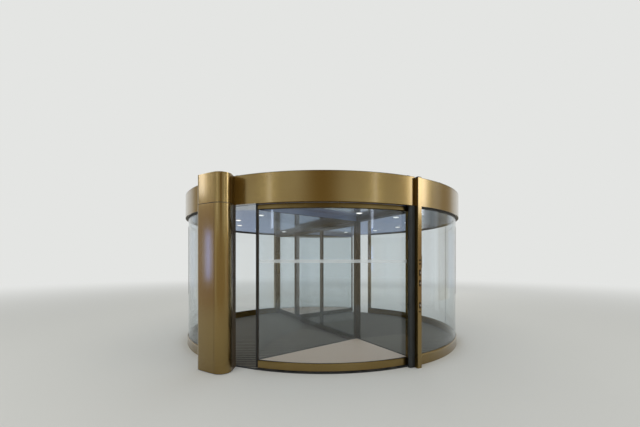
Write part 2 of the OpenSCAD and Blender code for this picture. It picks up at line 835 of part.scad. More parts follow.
// Brushes under the rails, and upright ones in the end stiles and the noses
module rotor_brushes() {
    mid_r = rotor_r - frame_t / 2;
    outer = end_x + end_stile_l;
    middle = (frame_t - header_w) / 4;
    color(black) both_wings() {
        showcase_curve() band(mid_r - brush_t / 2, mid_r + brush_t / 2, brush_lift, rail_lift);
        slant_bar(brush_t, brush_lift, rail_lift);
        block(apex_r + apex_w, outer, screen_mid - brush_t / 2, screen_mid + brush_t / 2,
              brush_lift, rail_lift);
        block(outer - brush_slot + seat, brush_reach, middle - brush_t / 2, middle + brush_t / 2,
              rail_lift, passage_h - seat);
        rotate([0, 0, -showcase_angle])
            block(nose_r + nose_d / 2 - brush_slot + seat, brush_reach, -brush_t / 2, brush_t / 2,
                  rail_lift, passage_h - seat);
    }
}

// Sliding leaves, drawn in the wing's frame with the meeting edge at the rotor's axis
module leaf_place(turn) {
    at_angle(wing_angle + turn) translate([leaf_gap / 2, 0, 0]) children();
}

// Frame of two stiles and two rails, open in the middle, with a pocket for the glass all round
module leaf_frame() {
    bite = glass_bite;
    difference() {
        block(0, leaf_w, -frame_t / 2, frame_t / 2, rail_lift, leaf_top);
        block(leaf_stile_w, leaf_w - leaf_stile_w, -frame_t, frame_t, rail_top,
              leaf_top - leaf_top_h);
        block(leaf_stile_w - bite, leaf_w - leaf_stile_w + bite, -pocket_w / 2, pocket_w / 2,
              rail_top - bite, leaf_top - leaf_top_h + bite);
    }
}

module leaf_glass() {
    bite = glass_bite - seat;
    block(leaf_stile_w - bite, leaf_w - leaf_stile_w + bite, -glass_t / 2, glass_t / 2,
          rail_top - bite, leaf_top - leaf_top_h + bite);
}

module leaf_brush() {
    block(0, leaf_w, -brush_t / 2, brush_t / 2, brush_lift, rail_lift);
}

// A wheel with a round groove that runs on the rail bead, drawn round the Z axis
module wheel() {
    rotate_extrude($fn = 48) difference() {
        translate([0, -wheel_w / 2]) square([wheel_r, wheel_w]);
        translate([wheel_r + seat, 0]) circle(r = bead_r + seat, $fn = 32);
    }
}

// Two hangers: a plate up through the header's slot, two axles and four grooved wheels each
module leaf_hangers() {
    for (x = hanger_places) translate([x, 0, 0]) {
        translate([0, hanger_t / 2, 0]) rotate([90, 0, 0]) linear_extrude(hanger_t)
            polygon([[-hanger_foot, leaf_top], [hanger_foot, leaf_top], [hanger_foot, head_z],
                     [hanger_head, wheel_z + hanger_rise], [-hanger_head, wheel_z + hanger_rise],
                     [-hanger_foot, head_z]]);
        for (side = [-1, 1]) translate([side * axle_pitch / 2, 0, wheel_z]) rotate([90, 0, 0]) {
            cylinder(r = bore_r, h = 2 * (wheel_y + axle_proud) + wheel_w, center = true,
                     $fn = 32);
            cylinder(r = axle_head, h = 2 * wheel_y - wheel_w, center = true, $fn = 32);
            for (end = [-1, 1]) translate([0, 0, end * wheel_y]) wheel();
        }
    }
}

module leaf_a_frame() {
    color(bronze) leaf_place(0) leaf_frame();
}

module leaf_a_glass() {
    color(glass_tint) leaf_place(0) leaf_glass();
}

module leaf_a_brush() {
    color(black) leaf_place(0) leaf_brush();
}

module leaf_a_hangers() {
    color(steel) leaf_place(0) leaf_hangers();
}

module leaf_b_frame() {
    color(bronze) leaf_place(180) leaf_frame();
}

module leaf_b_glass() {
    color(glass_tint) leaf_place(180) leaf_glass();
}

module leaf_b_brush() {
    color(black) leaf_place(180) leaf_brush();
}

module leaf_b_hangers() {
    color(steel) leaf_place(180) leaf_hangers();
}

floor_mat();
wall_floor_rails();
right_glass_1();
right_glass_2();
left_glass_1();
left_glass_2();
wall_head_rails();
inside_right_post();
street_posts();
safety_rubbers();
control_knobs();
column_grille();
column_lower();
column_head();
fascia_inside();
fascia_right();
fascia_street();
fascia_left();
fascia_clips();
canopy_ring();
canopy_beams();
bearing_housing();
roof_cover();
rotor_shaft();
rotor_ceiling();
ceiling_spots();
header_track();
curved_bottom_rails();
curved_top_rails();
curved_glass();
nose_stiles();
end_stiles();
apex_posts();
slant_rails();
slant_glass();
screen_rails();
screen_glass();
showcase_floors();
rotor_brushes();
leaf_a_frame();
leaf_a_glass();
leaf_a_brush();
leaf_a_hangers();
leaf_b_frame();
leaf_b_glass();
leaf_b_brush();
leaf_b_hangers();
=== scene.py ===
import math

import bpy
from mathutils import Matrix, Vector


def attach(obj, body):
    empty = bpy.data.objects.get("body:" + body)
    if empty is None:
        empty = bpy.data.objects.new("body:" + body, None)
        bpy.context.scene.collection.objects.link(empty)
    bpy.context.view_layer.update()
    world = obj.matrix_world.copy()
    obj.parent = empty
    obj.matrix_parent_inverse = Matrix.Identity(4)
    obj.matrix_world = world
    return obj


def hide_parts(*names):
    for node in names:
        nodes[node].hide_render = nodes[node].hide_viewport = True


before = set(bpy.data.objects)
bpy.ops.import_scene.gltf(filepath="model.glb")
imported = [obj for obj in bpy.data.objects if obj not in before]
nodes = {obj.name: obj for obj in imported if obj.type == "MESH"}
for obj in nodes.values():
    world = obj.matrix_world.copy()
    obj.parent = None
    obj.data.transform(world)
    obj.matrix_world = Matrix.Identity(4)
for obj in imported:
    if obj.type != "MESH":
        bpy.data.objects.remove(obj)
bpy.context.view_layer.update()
scene = bpy.context.scene

# Camera and the look of the picture
# A wide shift lens at eye height, level and square to the door, so that uprights stay
# upright. The shift puts the horizon where the photograph has it.
EYE = (-0.041, -7.440, 1.634)
LENS_MM = 17.59
SENSOR_MM = 36
LENS_SHIFT = 0.0752
CLEAR_BOUNCES = 40  # a sight line can cross twenty faces of glass

bpy.ops.object.camera_add(location=EYE, rotation=(math.radians(90), 0, 0))
camera = bpy.context.object
camera.data.sensor_width = SENSOR_MM
camera.data.lens = LENS_MM
camera.data.shift_y = LENS_SHIFT
scene.camera = camera
scene.view_settings.view_transform = "Standard"
scene.cycles.transparent_max_bounces = CLEAR_BOUNCES

# Floor of the studio
# A plain pale floor with a faint grain, like honed stone, just under the door. Far from the
# object it turns into the background's tone, so that no hard horizon crosses the glass.
FLOOR_TONE = "#D5D5D1"
BACKGROUND_TONE = "#E4E5E3"
FLOOR_SIZE = 240
FLOOR_DROP = 0.0008
FLOOR_FADE = (3.6, 26)


def linear_colour(code):
    """Turns an sRGB hex colour into the linear RGBA that a node's socket takes."""
    shares = [int(code[i : i + 2], 16) / 255 for i in (1, 3, 5)]
    return [s / 12.92 if s <= 0.04045 else ((s + 0.055) / 1.055) ** 2.4 for s in shares] + [1]


def add_node(tree, kind, settings=None, links=None):
    """Adds a node, sets its inputs or properties, and links inputs to (node, output) pairs."""
    added = tree.nodes.new(kind)
    for key, value in (settings or {}).items():
        if isinstance(key, str) and hasattr(added, key):
            setattr(added, key, value)
        else:
            added.inputs[key].default_value = value
    for key, (source, output) in (links or {}).items():
        tree.links.new(source.outputs[output], added.inputs[key])
    return added


def blend_stops(ramp, stops):
    """Gives a colour ramp its stops, as pairs of a position and a hex colour."""
    while len(ramp.color_ramp.elements) < len(stops):
        ramp.color_ramp.elements.new(0.5)
    for element, (position, code) in zip(ramp.color_ramp.elements, stops):
        element.position = position
        element.color = linear_colour(code)


def new_finish(
    name, waves, tones=None, rough=None, detail=2, drawn=(1, 1, 1), relief=0, constants=None
):
    """A Principled finish whose tone, gloss and relief follow one noise on the piece.

    waves is the number of the noise's waves in a metre and drawn its stretch along the axes.
    tones and rough are the colour and the roughness at low and at high noise: without one of
    them, the section links its own. relief is the height of the bumps in metres, and
    constants are values for the shader's own sockets.
    """
    material = bpy.data.materials.new(name)
    material.use_nodes = True
    tree = material.node_tree
    tree.nodes.clear()
    place = add_node(tree, "ShaderNodeTexCoord")
    scale = [waves * share for share in drawn]
    scaled = add_node(
        tree, "ShaderNodeMapping", {"Scale": scale}, {"Vector": (place, "Object")}
    )
    noise = add_node(
        tree, "ShaderNodeTexNoise", {"Scale": 1, "Detail": detail}, {"Vector": (scaled, "Vector")}
    )
    looks = {}
    if tones:
        tone = add_node(tree, "ShaderNodeValToRGB", links={"Fac": (noise, "Fac")})
        blend_stops(tone, [(0.3, tones[0]), (0.7, tones[1])])
        looks["Base Color"] = (tone, "Color")
    if rough:
        gloss = add_node(
            tree,
            "ShaderNodeMapRange",
            {"From Min": 0.3, "From Max": 0.7, "To Min": rough[0], "To Max": rough[1]},
            {"Value": (noise, "Fac")},
        )
        looks["Roughness"] = (gloss, "Result")
    if relief:
        bump = add_node(
            tree,
            "ShaderNodeBump",
            {"Strength": 0.5, "Distance": relief},
            {"Height": (noise, "Fac")},
        )
        looks["Normal"] = (bump, "Normal")
    shader = add_node(tree, "ShaderNodeBsdfPrincipled", constants, looks)
    add_node(tree, "ShaderNodeOutputMaterial", links={"Surface": (shader, "BSDF")})
    return material


# Honed limestone-like floor, dull, with a grain of about 8 mm. Beyond the object it turns
# into a glow in the background's own tone.
pale_floor = new_finish(
    "honed_pale_floor",
    waves=120,
    tones=("#CFCFCB", FLOOR_TONE),
    rough=(0.4, 0.46),
    detail=3,
    constants={"Specular IOR Level": 0.0},
)
tree = pale_floor.node_tree
place = tree.nodes["Texture Coordinate"]
reach = add_node(tree, "ShaderNodeVectorMath", {"operation": "LENGTH"}, {0: (place, "Object")})
far_share = add_node(
    tree,
    "ShaderNodeMapRange",
    {"From Min": FLOOR_FADE[0], "From Max": FLOOR_FADE[1], "interpolation_type": "SMOOTHSTEP"},
    {"Value": (reach, "Value")},
)
far_glow = add_node(tree, "ShaderNodeEmission", {"Color": linear_colour(BACKGROUND_TONE)})
faded = add_node(
    tree,
    "ShaderNodeMixShader",
    links={
        0: (far_share, "Result"),
        1: (tree.nodes["Principled BSDF"], "BSDF"),
        2: (far_glow, "Emission"),
    },
)
tree.links.new(faded.outputs["Shader"], tree.nodes["Material Output"].inputs["Surface"])

bpy.ops.mesh.primitive_plane_add(size=FLOOR_SIZE, location=(0, 0, -FLOOR_DROP))
studio_floor = bpy.context.object
studio_floor.name = "studio_floor"
studio_floor.data.materials.append(pale_floor)

# Studio light
# A pale surround, a large soft key from the upper left in front, a weaker fill from the
# right, one soft lamp over the roof, one behind the door and one for the ceiling's spots.
SURROUND_DIFFUSE = 0.8
SOFT_LAMPS = [
    # name, place, aim, size, power
    ("key_softbox", (-6.5, -10.5, 6.8), (0, 0, 1.2), (7, 4.5), 300),
    ("fill_softbox", (9.0, -8.0, 4.5), (0, 0, 1.4), (5, 4), 120),
    ("top_softbox", (0, 1.0, 9.5), (0, 0, 2.9), (9, 9), 180),
    ("street_softbox", (3.0, 12.0, 5.5), (0, 0, 1.3), (8, 4), 230),
    ("spots_softbox", (0, 0, 2.41), (0, 0, 0), (4, 4), 38),
]

for name, lamp_place, aim, size, power in SOFT_LAMPS:
    bpy.ops.object.light_add(type="AREA", location=lamp_place)
    lamp = bpy.context.object
    lamp.name = name
    lamp.data.shape = "RECTANGLE"
    lamp.data.size, lamp.data.size_y = size
    lamp.data.energy = power
    lamp.visible_camera = lamp.visible_glossy = False
    way = Vector(aim) - lamp.location
    lamp.rotation_euler = way.to_track_quat("-Z", "Y").to_euler()

surround = bpy.data.worlds.new("pale_surround")
scene.world = surround
surround.use_nodes = True
tree = surround.node_tree
tree.nodes.clear()
ray = add_node(tree, "ShaderNodeLightPath")
seen = (ray, "Is Camera Ray")
for kind in ("Is Glossy Ray", "Is Transmission Ray"):
    either = add_node(tree, "ShaderNodeMath", {"operation": "MAXIMUM"}, {0: seen, 1: (ray, kind)})
    seen = (either, "Value")
strength = add_node(
    tree, "ShaderNodeMapRange", {"To Min": SURROUND_DIFFUSE, "To Max": 1.0}, {"Value": seen}
)
glow = add_node(
    tree,
    "ShaderNodeBackground",
    {"Color": linear_colour(BACKGROUND_TONE)},
    {"Strength": (strength, "Result")},
)
add_node(tree, "ShaderNodeOutputWorld", links={"Surface": (glow, "Background")})

# Cards of the studio
# Cloth cards round the object that only the gloss of metal and glass sees: warm dim ones in
# front and behind, bright ones left and right of the front one with dull ones under them,
# and grey ones beside the walls. Each fades into the surround towards its sides.
GLOSS_CARDS = [
    # name, plan angle, distance, width, (foot, head), tone, gain, share of a flat middle
    ("front_dim_card", 0, 13.0, 8.6, (3.2, 12), "#97825B", 1.0, 0.12),
    ("front_dull_card", 0, 9.2, 17.0, (0, 2.7), "#C6BAA4", 1.0, 0.8),
    ("street_dim_card", 180, 13.0, 8.6, (3.5, 12), "#97825B", 1.0, 0.12),
    ("street_cool_card", 180, 13.0, 16.0, (0, 3.5), "#98A3B9", 1.0, 0.6),
    ("left_slim_card", -33.2, 10.8, 0.5, (3, 9), "#E6EEFF", 5.0, 0.2),
    ("right_slim_card", 33.2, 10.8, 0.5, (3, 9), "#E6EEFF", 5.2, 0.2),
    ("left_broad_card", -68.6, 8.5, 1.3, (3.85, 9), "#F1F4FF", 6.0, 0.2),
    ("left_low_card", -64.2, 8.9, 0.8, (1.05, 2.65), "#8098F4", 7.6, 0.3),
    ("left_dull_card", -66.0, 9.5, 5.6, (0, 3.8), "#C2B2A8", 1.0, 0.6),
    ("right_dull_card", 66.0, 9.5, 5.6, (0, 3.1), "#C2B2A8", 1.0, 0.6),
    ("right_broad_card", 63.0, 8.6, 2.9, (3.3, 9), "#F1F4FF", 5.5, 0.5),
    ("left_rear_card", -142.0, 11.0, 4.0, (0, 3.4), "#454642", 1.0, 0.5),
    ("right_rear_card", 142.0, 11.0, 4.0, (0, 3.4), "#454642", 1.0, 0.5),
    ("left_side_card", -97.0, 10.0, 5.0, (0, 9), "#B5A584", 1.0, 0.3),
    ("right_side_card", 97.0, 10.0, 5.0, (0, 9), "#B5A584", 1.0, 0.3),
]
CARD_EDGE = 0.5  # half a card's width in its own coordinates


def new_card(name, angle, distance, width, heights, tone, gain, flat):
    """Stands one glowing cloth card upright, facing the drum's axis."""
    bpy.ops.mesh.primitive_plane_add(size=1)
    card = bpy.context.object
    card.name = name
    card.scale = (width, heights[1] - heights[0], 1)
    turn = math.radians(angle)
    card.location = (distance * math.sin(turn), -distance * math.cos(turn), sum(heights) / 2)
    card.rotation_euler = (math.radians(90), 0, turn)
    cloth = bpy.data.materials.new(name + "_cloth")
    cloth.use_nodes = True
    tree = cloth.node_tree
    tree.nodes.clear()
    place = add_node(tree, "ShaderNodeTexCoord")
    axes = add_node(tree, "ShaderNodeSeparateXYZ", links={"Vector": (place, "Object")})
    off = add_node(tree, "ShaderNodeMath", {"operation": "ABSOLUTE"}, {0: (axes, "X")})
    fade = add_node(
        tree,
        "ShaderNodeMapRange",
        {"From Min": flat * CARD_EDGE, "From Max": CARD_EDGE, "interpolation_type": "SMOOTHSTEP"},
        {"Value": (off, "Value")},
    )
    middle = [gain * share for share in linear_colour(tone)[:3]] + [1]
    blend = add_node(
        tree,
        "ShaderNodeMix",
        {"data_type": "RGBA", 6: middle, 7: linear_colour(BACKGROUND_TONE)},
        {0: (fade, "Result")},
    )
    shine = add_node(tree, "ShaderNodeEmission", links={"Color": (blend, 2)})
    add_node(tree, "ShaderNodeOutputMaterial", links={"Surface": (shine, "Emission")})
    card.data.materials.append(cloth)
    card.visible_camera = card.visible_diffuse = card.visible_shadow = False
    card.visible_transmission = False


for facts in GLOSS_CARDS:
    new_card(*facts)

# Entrance mat
# Rows of coarse polyamide carpet held in an aluminium base, laid across the walking way.
# Every second row is woven lighter, scraper bars lie in the grooves, and black rubber
# edges the mat all round; that black is partly painted shade, for the shade under the rotor.
# Black strips outside the rim at the openings are painted shade under the rotor's rails.
MAT_PITCH = 0.054
MAT_FIELD_R = 2.868
BAR_HALF = 0.002
BAR_FOOT = 0.0081
BAR_TOP = 0.0126
MAT_RIM = (2.8715, 2.8950)
MAT_RIM_FOOT = 0.011
MAT_SHADE_RADII = (2.8958, 2.8990)
MAT_SHADE_ENDS = (-29.2, 28.1)
STRIP_STEP = 1.5  # degrees between two sections of a bent strip


def deselect():
    """Deselects everything, so that the next operators act on the new piece alone."""
    bpy.ops.object.select_all(action="DESELECT")


def select_alone(part):
    """Makes one part the only selected and the active one."""
    deselect()
    part.select_set(True)
    bpy.context.view_layer.objects.active = part


def settled(part):
    """Settles a part's place, turn and scale into its mesh."""
    select_alone(part)
    bpy.ops.object.transform_apply()
    return part


def turned(part, turn, shift=(0, 0, 0)):
    """Shifts a part, turns it about the drum's axis, and settles that into its mesh."""
    part.matrix_world = Matrix.Rotation(math.radians(turn), 4, "Z") @ Matrix.Translation(shift)
    return settled(part)


def copied(part, turn, shift=(0, 0, 0)):
    """A copy of a part with its own mesh, shifted and then turned about the drum's axis."""
    copy = part.copy()
    copy.data = part.data.copy()
    scene.collection.objects.link(copy)
    return turned(copy, turn, shift)


def joined(parts):
    """Joins several parts into one object, and returns it."""
    select_alone(parts[0])
    for part in parts:
        part.select_set(True)
    bpy.ops.object.join()
    return bpy.context.object


def paired(part):
    """Joins a part with its copy half a turn round the drum's axis."""
    return joined([part, copied(part, 180)])


def box_part(low, high):
    """A box between two corners, with its place in its mesh."""
    deselect()
    middle = [(a + b) / 2 for a, b in zip(low, high)]
    bpy.ops.mesh.primitive_cube_add(size=1, location=middle)
    part = bpy.context.object
    part.scale = [b - a for a, b in zip(low, high)]
    return settled(part)


def round_edges(part, width=0.0008, segments=2):
    """Rounds a part's sharp edges with a bevel that is applied."""
    bevel = part.modifiers.new("edge_round", "BEVEL")
    bevel.width, bevel.segments = width, segments
    bevel.limit_method = "ANGLE"
    select_alone(part)
    bpy.ops.object.modifier_apply(modifier=bevel.name)
    return part


def curved_strip(radii, heights, angles, edge=0.0):
    """A bar that follows the drum between two plan angles: its section is spun round Z."""
    deselect()
    bpy.ops.mesh.primitive_plane_add(
        size=1,
        location=(sum(radii) / 2, 0, sum(heights) / 2),
        rotation=(math.radians(90), 0, 0),
    )
    strip = bpy.context.object
    strip.scale = (radii[1] - radii[0], heights[1] - heights[0], 1)
    turned(settled(strip), angles[0] - 90)
    bpy.ops.object.mode_set(mode="EDIT")
    bpy.ops.mesh.select_all(action="SELECT")
    if edge:
        bpy.ops.mesh.bevel(offset=edge, segments=2, affect="VERTICES")
        bpy.ops.mesh.select_all(action="SELECT")
    sweep = angles[1] - angles[0]
    if sweep == 360:
        bpy.ops.mesh.delete(type="ONLY_FACE")
        bpy.ops.mesh.select_all(action="SELECT")
    bpy.ops.mesh.spin(
        steps=max(2, round(sweep / STRIP_STEP)),
        angle=math.radians(-sweep),
        center=(0, 0, 0),
        axis=(0, 0, 1),
    )
    bpy.ops.mesh.select_all(action="SELECT")
    bpy.ops.mesh.remove_doubles(threshold=1e-6)
    bpy.ops.mesh.normals_make_consistent(inside=False)
    bpy.ops.object.mode_set(mode="OBJECT")
    bpy.ops.object.shade_smooth_by_angle(angle=math.radians(30))
    return strip


def fit(piece, name, body, finish):
    """Names a finished piece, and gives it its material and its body."""
    piece.name = name
    piece.data.name = name
    piece.data.materials.clear()
    piece.data.materials.append(finish)
    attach(piece, body)
    return piece


def dress(finish, *names):
    """Gives CAD nodes a finish."""
    for name in names:
        nodes[name].data.materials.clear()
        nodes[name].data.materials.append(finish)


# Looped polyamide yarn, dry and matt: tufts of about 4 mm, soiled in large soft patches.
# The rows' tones differ more than on a new mat, so that they still show from a few metres.
mat_carpet = new_finish(
    "ribbed_polyamide_carpet",
    waves=250,
    rough=(0.88, 0.96),
    relief=0.003,
    constants={"Specular IOR Level": 0.25},
)
tree = mat_carpet.node_tree
place = tree.nodes["Texture Coordinate"]
axes = add_node(tree, "ShaderNodeSeparateXYZ", links={"Vector": (place, "Object")})
row = add_node(
    tree, "ShaderNodeMath", {"operation": "DIVIDE", 1: MAT_PITCH * 2}, {0: (axes, "Y")}
)
share = add_node(tree, "ShaderNodeMath", {"operation": "FRACT"}, {0: (row, "Value")})
row_tone = add_node(tree, "ShaderNodeValToRGB", links={"Fac": (share, "Value")})
row_tone.color_ramp.interpolation = "CONSTANT"
blend_stops(row_tone, [(0, "#2E2C27"), (0.25, "#767164"), (0.75, "#2E2C27")])
soil = add_node(
    tree, "ShaderNodeTexNoise", {"Scale": 1.7, "Detail": 4}, {"Vector": (place, "Object")}
)
soil_share = add_node(
    tree,
    "ShaderNodeMapRange",
    {"From Min": 0.35, "From Max": 0.7, "To Min": 0.0, "To Max": 0.4},
    {"Value": (soil, "Fac")},
)
soiled = add_node(
    tree,
    "ShaderNodeMix",
    {"data_type": "RGBA", 7: linear_colour("#605A4D")},
    {0: (soil_share, "Result"), 6: (row_tone, "Color")},
)
tuft_share = add_node(
    tree,
    "ShaderNodeMapRange",
    {"From Min": 0.3, "From Max": 0.7, "To Min": 0.72, "To Max": 1.25},
    {"Value": (tree.nodes["Noise Texture"], "Fac")},
)
tufted = add_node(
    tree,
    "ShaderNodeVectorMath",
    {"operation": "SCALE"},
    {0: (soiled, 2), "Scale": (tuft_share, "Result")},
)
tree.links.new(tufted.outputs["Vector"], tree.nodes["Principled BSDF"].inputs["Base Color"])
dress(mat_carpet, "floor_mat")

# Extruded aluminium, mill finish, scuffed bright by shoes: a grey metal with scratches along
# the bars, drawn about 2.5 mm wide.
scraper_metal = new_finish(
    "mill_finish_aluminium",
    waves=400,
    tones=("#6E6F6E", "#A9AAA8"),
    rough=(0.5, 0.32),
    detail=3,
    drawn=(0.05, 1, 1),
    constants={"Metallic": 1},
)

bars = []
row_count = int(MAT_FIELD_R / MAT_PITCH)
for number in range(-row_count, row_count + 1):
    y = number * MAT_PITCH
    half = math.sqrt(MAT_FIELD_R**2 - (abs(y) + BAR_HALF) ** 2)
    bars.append(box_part((-half, y - BAR_HALF, BAR_FOOT), (half, y + BAR_HALF, BAR_TOP)))
fit(round_edges(joined(bars)), "mat_scraper_bars", "drum", scraper_metal)

# EPDM rubber, extruded, matt black with a faint bloom that greys it in slow patches.
black_rubber = new_finish(
    "black_epdm_rubber", waves=9, tones=("#1A1D1E", "#292D2E"), rough=(0.5, 0.65), detail=5
)
# Painted shade in part: the rim's black also stands in for the shade under the rotor.
rim = curved_strip(MAT_RIM, (MAT_RIM_FOOT, BAR_TOP), (0, 360), edge=0.0005)
fit(rim, "mat_rim", "drum", black_rubber)
# Painted shade: black strips outside the rim stand in for the shade under the bottom rails.
mat_shade_strip = curved_strip(MAT_SHADE_RADII, (0, BAR_TOP), MAT_SHADE_ENDS, edge=0.0008)
fit(paired(mat_shade_strip), "mat_shade_strips", "drum", black_rubber)

# Floor rails of the drum wall
# Bent aluminium sections, bronze anodised, with a sloping glazing bead each side of the
# glass. They are screwed to the floor from below, so nothing but the joint shows.

# Satin bronze anodising: an oxide layer over blasted aluminium. Its fine grain is drawn at
# about 1.5 mm, its tone drifts in slow clouds, and the clear seal adds a sharper, paler
# highlight. Low down it is duller, where the floor is mopped.
satin_bronze = new_finish(
    "satin_bronze_anodised_aluminium",
    waves=1.3,
    tones=("#846C37", "#8B7541"),
    detail=3,
    constants={"Metallic": 1, "Coat Weight": 0.8, "Coat Roughness": 0.15},
)
tree = satin_bronze.node_tree
place = tree.nodes["Texture Coordinate"]
shader = tree.nodes["Principled BSDF"]
grain = add_node(
    tree, "ShaderNodeTexNoise", {"Scale": 700, "Detail": 2}, {"Vector": (place, "Object")}
)
height = add_node(tree, "ShaderNodeSeparateXYZ", links={"Vector": (place, "Object")})
mopped = add_node(
    tree,
    "ShaderNodeMapRange",
    {"From Min": 0.0, "From Max": 0.22, "To Min": 0.12, "To Max": 0.0},
    {"Value": (height, "Z")},
)
grain_rough = add_node(
    tree,
    "ShaderNodeMapRange",
    {"From Min": 0.3, "From Max": 0.7, "To Min": 0.2, "To Max": 0.27},
    {"Value": (grain, "Fac")},
)
bronze_rough = add_node(
    tree, "ShaderNodeMath", links={0: (grain_rough, "Result"), 1: (mopped, "Result")}
)
tree.links.new(bronze_rough.outputs["Value"], shader.inputs["Roughness"])
blasted = add_node(
    tree, "ShaderNodeBump", {"Strength": 0.1, "Distance": 0.0004}, {"Height": (grain, "Fac")}
)
tree.links.new(blasted.outputs["Normal"], shader.inputs["Normal"])
dress(satin_bronze, "wall_floor_rails")

# Glass of the drum wall
# Four bent panes of clear laminated safety glass, two a side. Black gaskets hold them in
# the rails and the head seals, and clear silicone fills the butt joint between two panes.
WALL_MID_R = 2.917
GLASS_HALF = 0.006
WALL_GLASS_Z = (0.168, 2.476)
RIGHT_WALL = (30.35, 147.3)
LEFT_WALL = (-149.65, -29.85)
PANE_JOINTS = (88.82, -89.754)
GASKET_GAP = 0.0002
GASKET_BED = 0.002
GASKET_ROUND = 0.001
WALL_LIP = (0.0042, 0.003)
SEALANT_HALF = 0.0056
SEALANT_SPREAD = 0.0185  # degrees

# Laminated glass shows what is behind it with a faint blue-grey tint. Each of its faces
# reflects 4 percent of the light head-on and all of it at a glancing angle, as a mirror
# does, so that share is a smooth metallic shader over a clear one. Wiping leaves it a
# little duller in soft patches.
clear_glass = new_finish(
    "laminated_clear_glass",
    waves=5,
    tones=("#EDF1F2", "#F0F3F4"),
    rough=(0.015, 0.05),
    detail=4,
    constants={"Metallic": 1},
)
tree = clear_glass.node_tree
facing = add_node(tree, "ShaderNodeLayerWeight", {"Blend": 0.5})
steep = add_node(
    tree, "ShaderNodeMath", {"operation": "POWER", 1: 5.0}, {0: (facing, "Facing")}
)
mirror_share = add_node(
    tree, "ShaderNodeMapRange", {"To Min": 0.043, "To Max": 1.0}, {"Value": (steep, "Value")}
)
tint = add_node(tree, "ShaderNodeBsdfTransparent", {"Color": linear_colour("#F8FAFB")})
pane = add_node(
    tree,
    "ShaderNodeMixShader",
    links={
        0: (mirror_share, "Result"),
        1: (tint, "BSDF"),
        2: (tree.nodes["Principled BSDF"], "BSDF"),
    },
)
tree.links.new(pane.outputs["Shader"], tree.nodes["Material Output"].inputs["Surface"])
dress(clear_glass, "right_glass_1", "right_glass_2", "left_glass_1", "left_glass_2")


def gasket_sections(middle, heights, lip):
    """The sections of a pane's four gaskets: on both its faces, at its foot and its head."""
    foot, head = heights
    out, up = lip
    sections = []
    for side in (-1, 1):
        near = middle + side * (GLASS_HALF + GASKET_GAP)
        across = sorted((near, near + side * out))
        sections.append((across, (foot - GASKET_BED, foot + up)))
        sections.append((across, (head - up, head + GASKET_BED)))
    return sections


wall_strips = [
    curved_strip(across, upright, angles, edge=GASKET_ROUND)
    for angles in (RIGHT_WALL, LEFT_WALL)
    for across, upright in gasket_sections(WALL_MID_R, WALL_GLASS_Z, WALL_LIP)
]
fit(joined(wall_strips), "wall_glass_gaskets", "drum", black_rubber)

# Clear silicone, slightly cloudy, smoothed a little hollow between the panes.
joint_sealant = new_finish(
    "clear_silicone_sealant",
    waves=60,
    tones=("#9AA3A1", "#AEB6B4"),
    rough=(0.3, 0.42),
    constants={"Alpha": 0.45},
)
beads = [
    curved_strip(
        (WALL_MID_R - SEALANT_HALF, WALL_MID_R + SEALANT_HALF),
        WALL_GLASS_Z,
        (angle - SEALANT_SPREAD, angle + SEALANT_SPREAD),
        edge=0.0003,
    )
    for angle in PANE_JOINTS
]
fit(joined(beads), "pane_joint_sealant", "drum", joint_sealant)

# Head seals of the drum wall
# Black rubber sections between the wall's glass and the canopy, extruded, bent to the
# wall's curve and pressed into a groove in the canopy's flange.
dress(black_rubber, "wall_head_rails")

# Posts at the openings
# Bronze anodised box sections that carry the canopy. The two finned ones stand out past it
# and are closed on top with black plastic plugs.
FIN_ANGLE = 29.4
FIN_REACH = (2.9775, 3.0360)
FIN_HALF = 0.0380
PLUG_Z = (2.925, 2.937)


def pick_faces(part, wanted):
    """Selects the faces whose centre and normal pass a test, and enters edit mode."""
    select_alone(part)
    bpy.ops.object.mode_set(mode="EDIT")
    bpy.ops.mesh.select_mode(type="FACE")
    bpy.ops.mesh.select_all(action="DESELECT")
    bpy.ops.object.mode_set(mode="OBJECT")
    for face in part.data.polygons:
        face.select = wanted(face.center, face.normal)
    bpy.ops.object.mode_set(mode="EDIT")


def faces_up(middle, normal):
    """Tells whether a face looks up."""
    return normal.z > 0.9


def pressed(part, wanted, border, way):
    """Insets the faces that pass a test and moves them, as a press or a mould does."""
    pick_faces(part, wanted)
    bpy.ops.mesh.inset(thickness=border)
    bpy.ops.transform.translate(value=way)
    bpy.ops.object.mode_set(mode="OBJECT")
    return part


dress(satin_bronze, "inside_right_post", "street_posts")

# Moulded polypropylene, black: its eroded texture is drawn at about 2 mm.
black_plastic = new_finish(
    "black_moulded_polypropylene",
    waves=600,
    tones=("#191A1B", "#242627"),
    rough=(0.45, 0.6),
    relief=0.0003,
)
plug = box_part((FIN_REACH[0], -FIN_HALF, PLUG_Z[0]), (FIN_REACH[1], FIN_HALF, PLUG_Z[1]))
pressed(plug, faces_up, border=0.004, way=(0, 0, 0.0015))
round_edges(turned(plug, FIN_ANGLE - 90), width=0.0012)
fit(paired(plug), "post_plugs", "drum", black_plastic)

# Safety rubbers
# Hollow black rubber sections that stop the rotor when they are pressed. They are clamped
# along the posts where a wing enters the wall.
dress(black_rubber, "safety_rubbers")

# Controls on the front post
# Two round switches, three lock plates with cylinders in bright rosettes, a push button and
# a slim reader. The dark parts are nickel plated brass, screwed on from inside the post.
CONTROL_FACE = 3.0383
CONTROL_TURN = FIN_ANGLE - 90
LOW_LOCK = 0.964
LOCK_HEIGHTS = (1.303, 1.464, LOW_LOCK)
SWITCH_HEIGHTS = (1.600, 1.655)
BUTTON_HEIGHT = 0.866
PLATE_OUT = 0.0031
LOCK_OUT = 0.0081
SWITCH_OUT = 0.0101
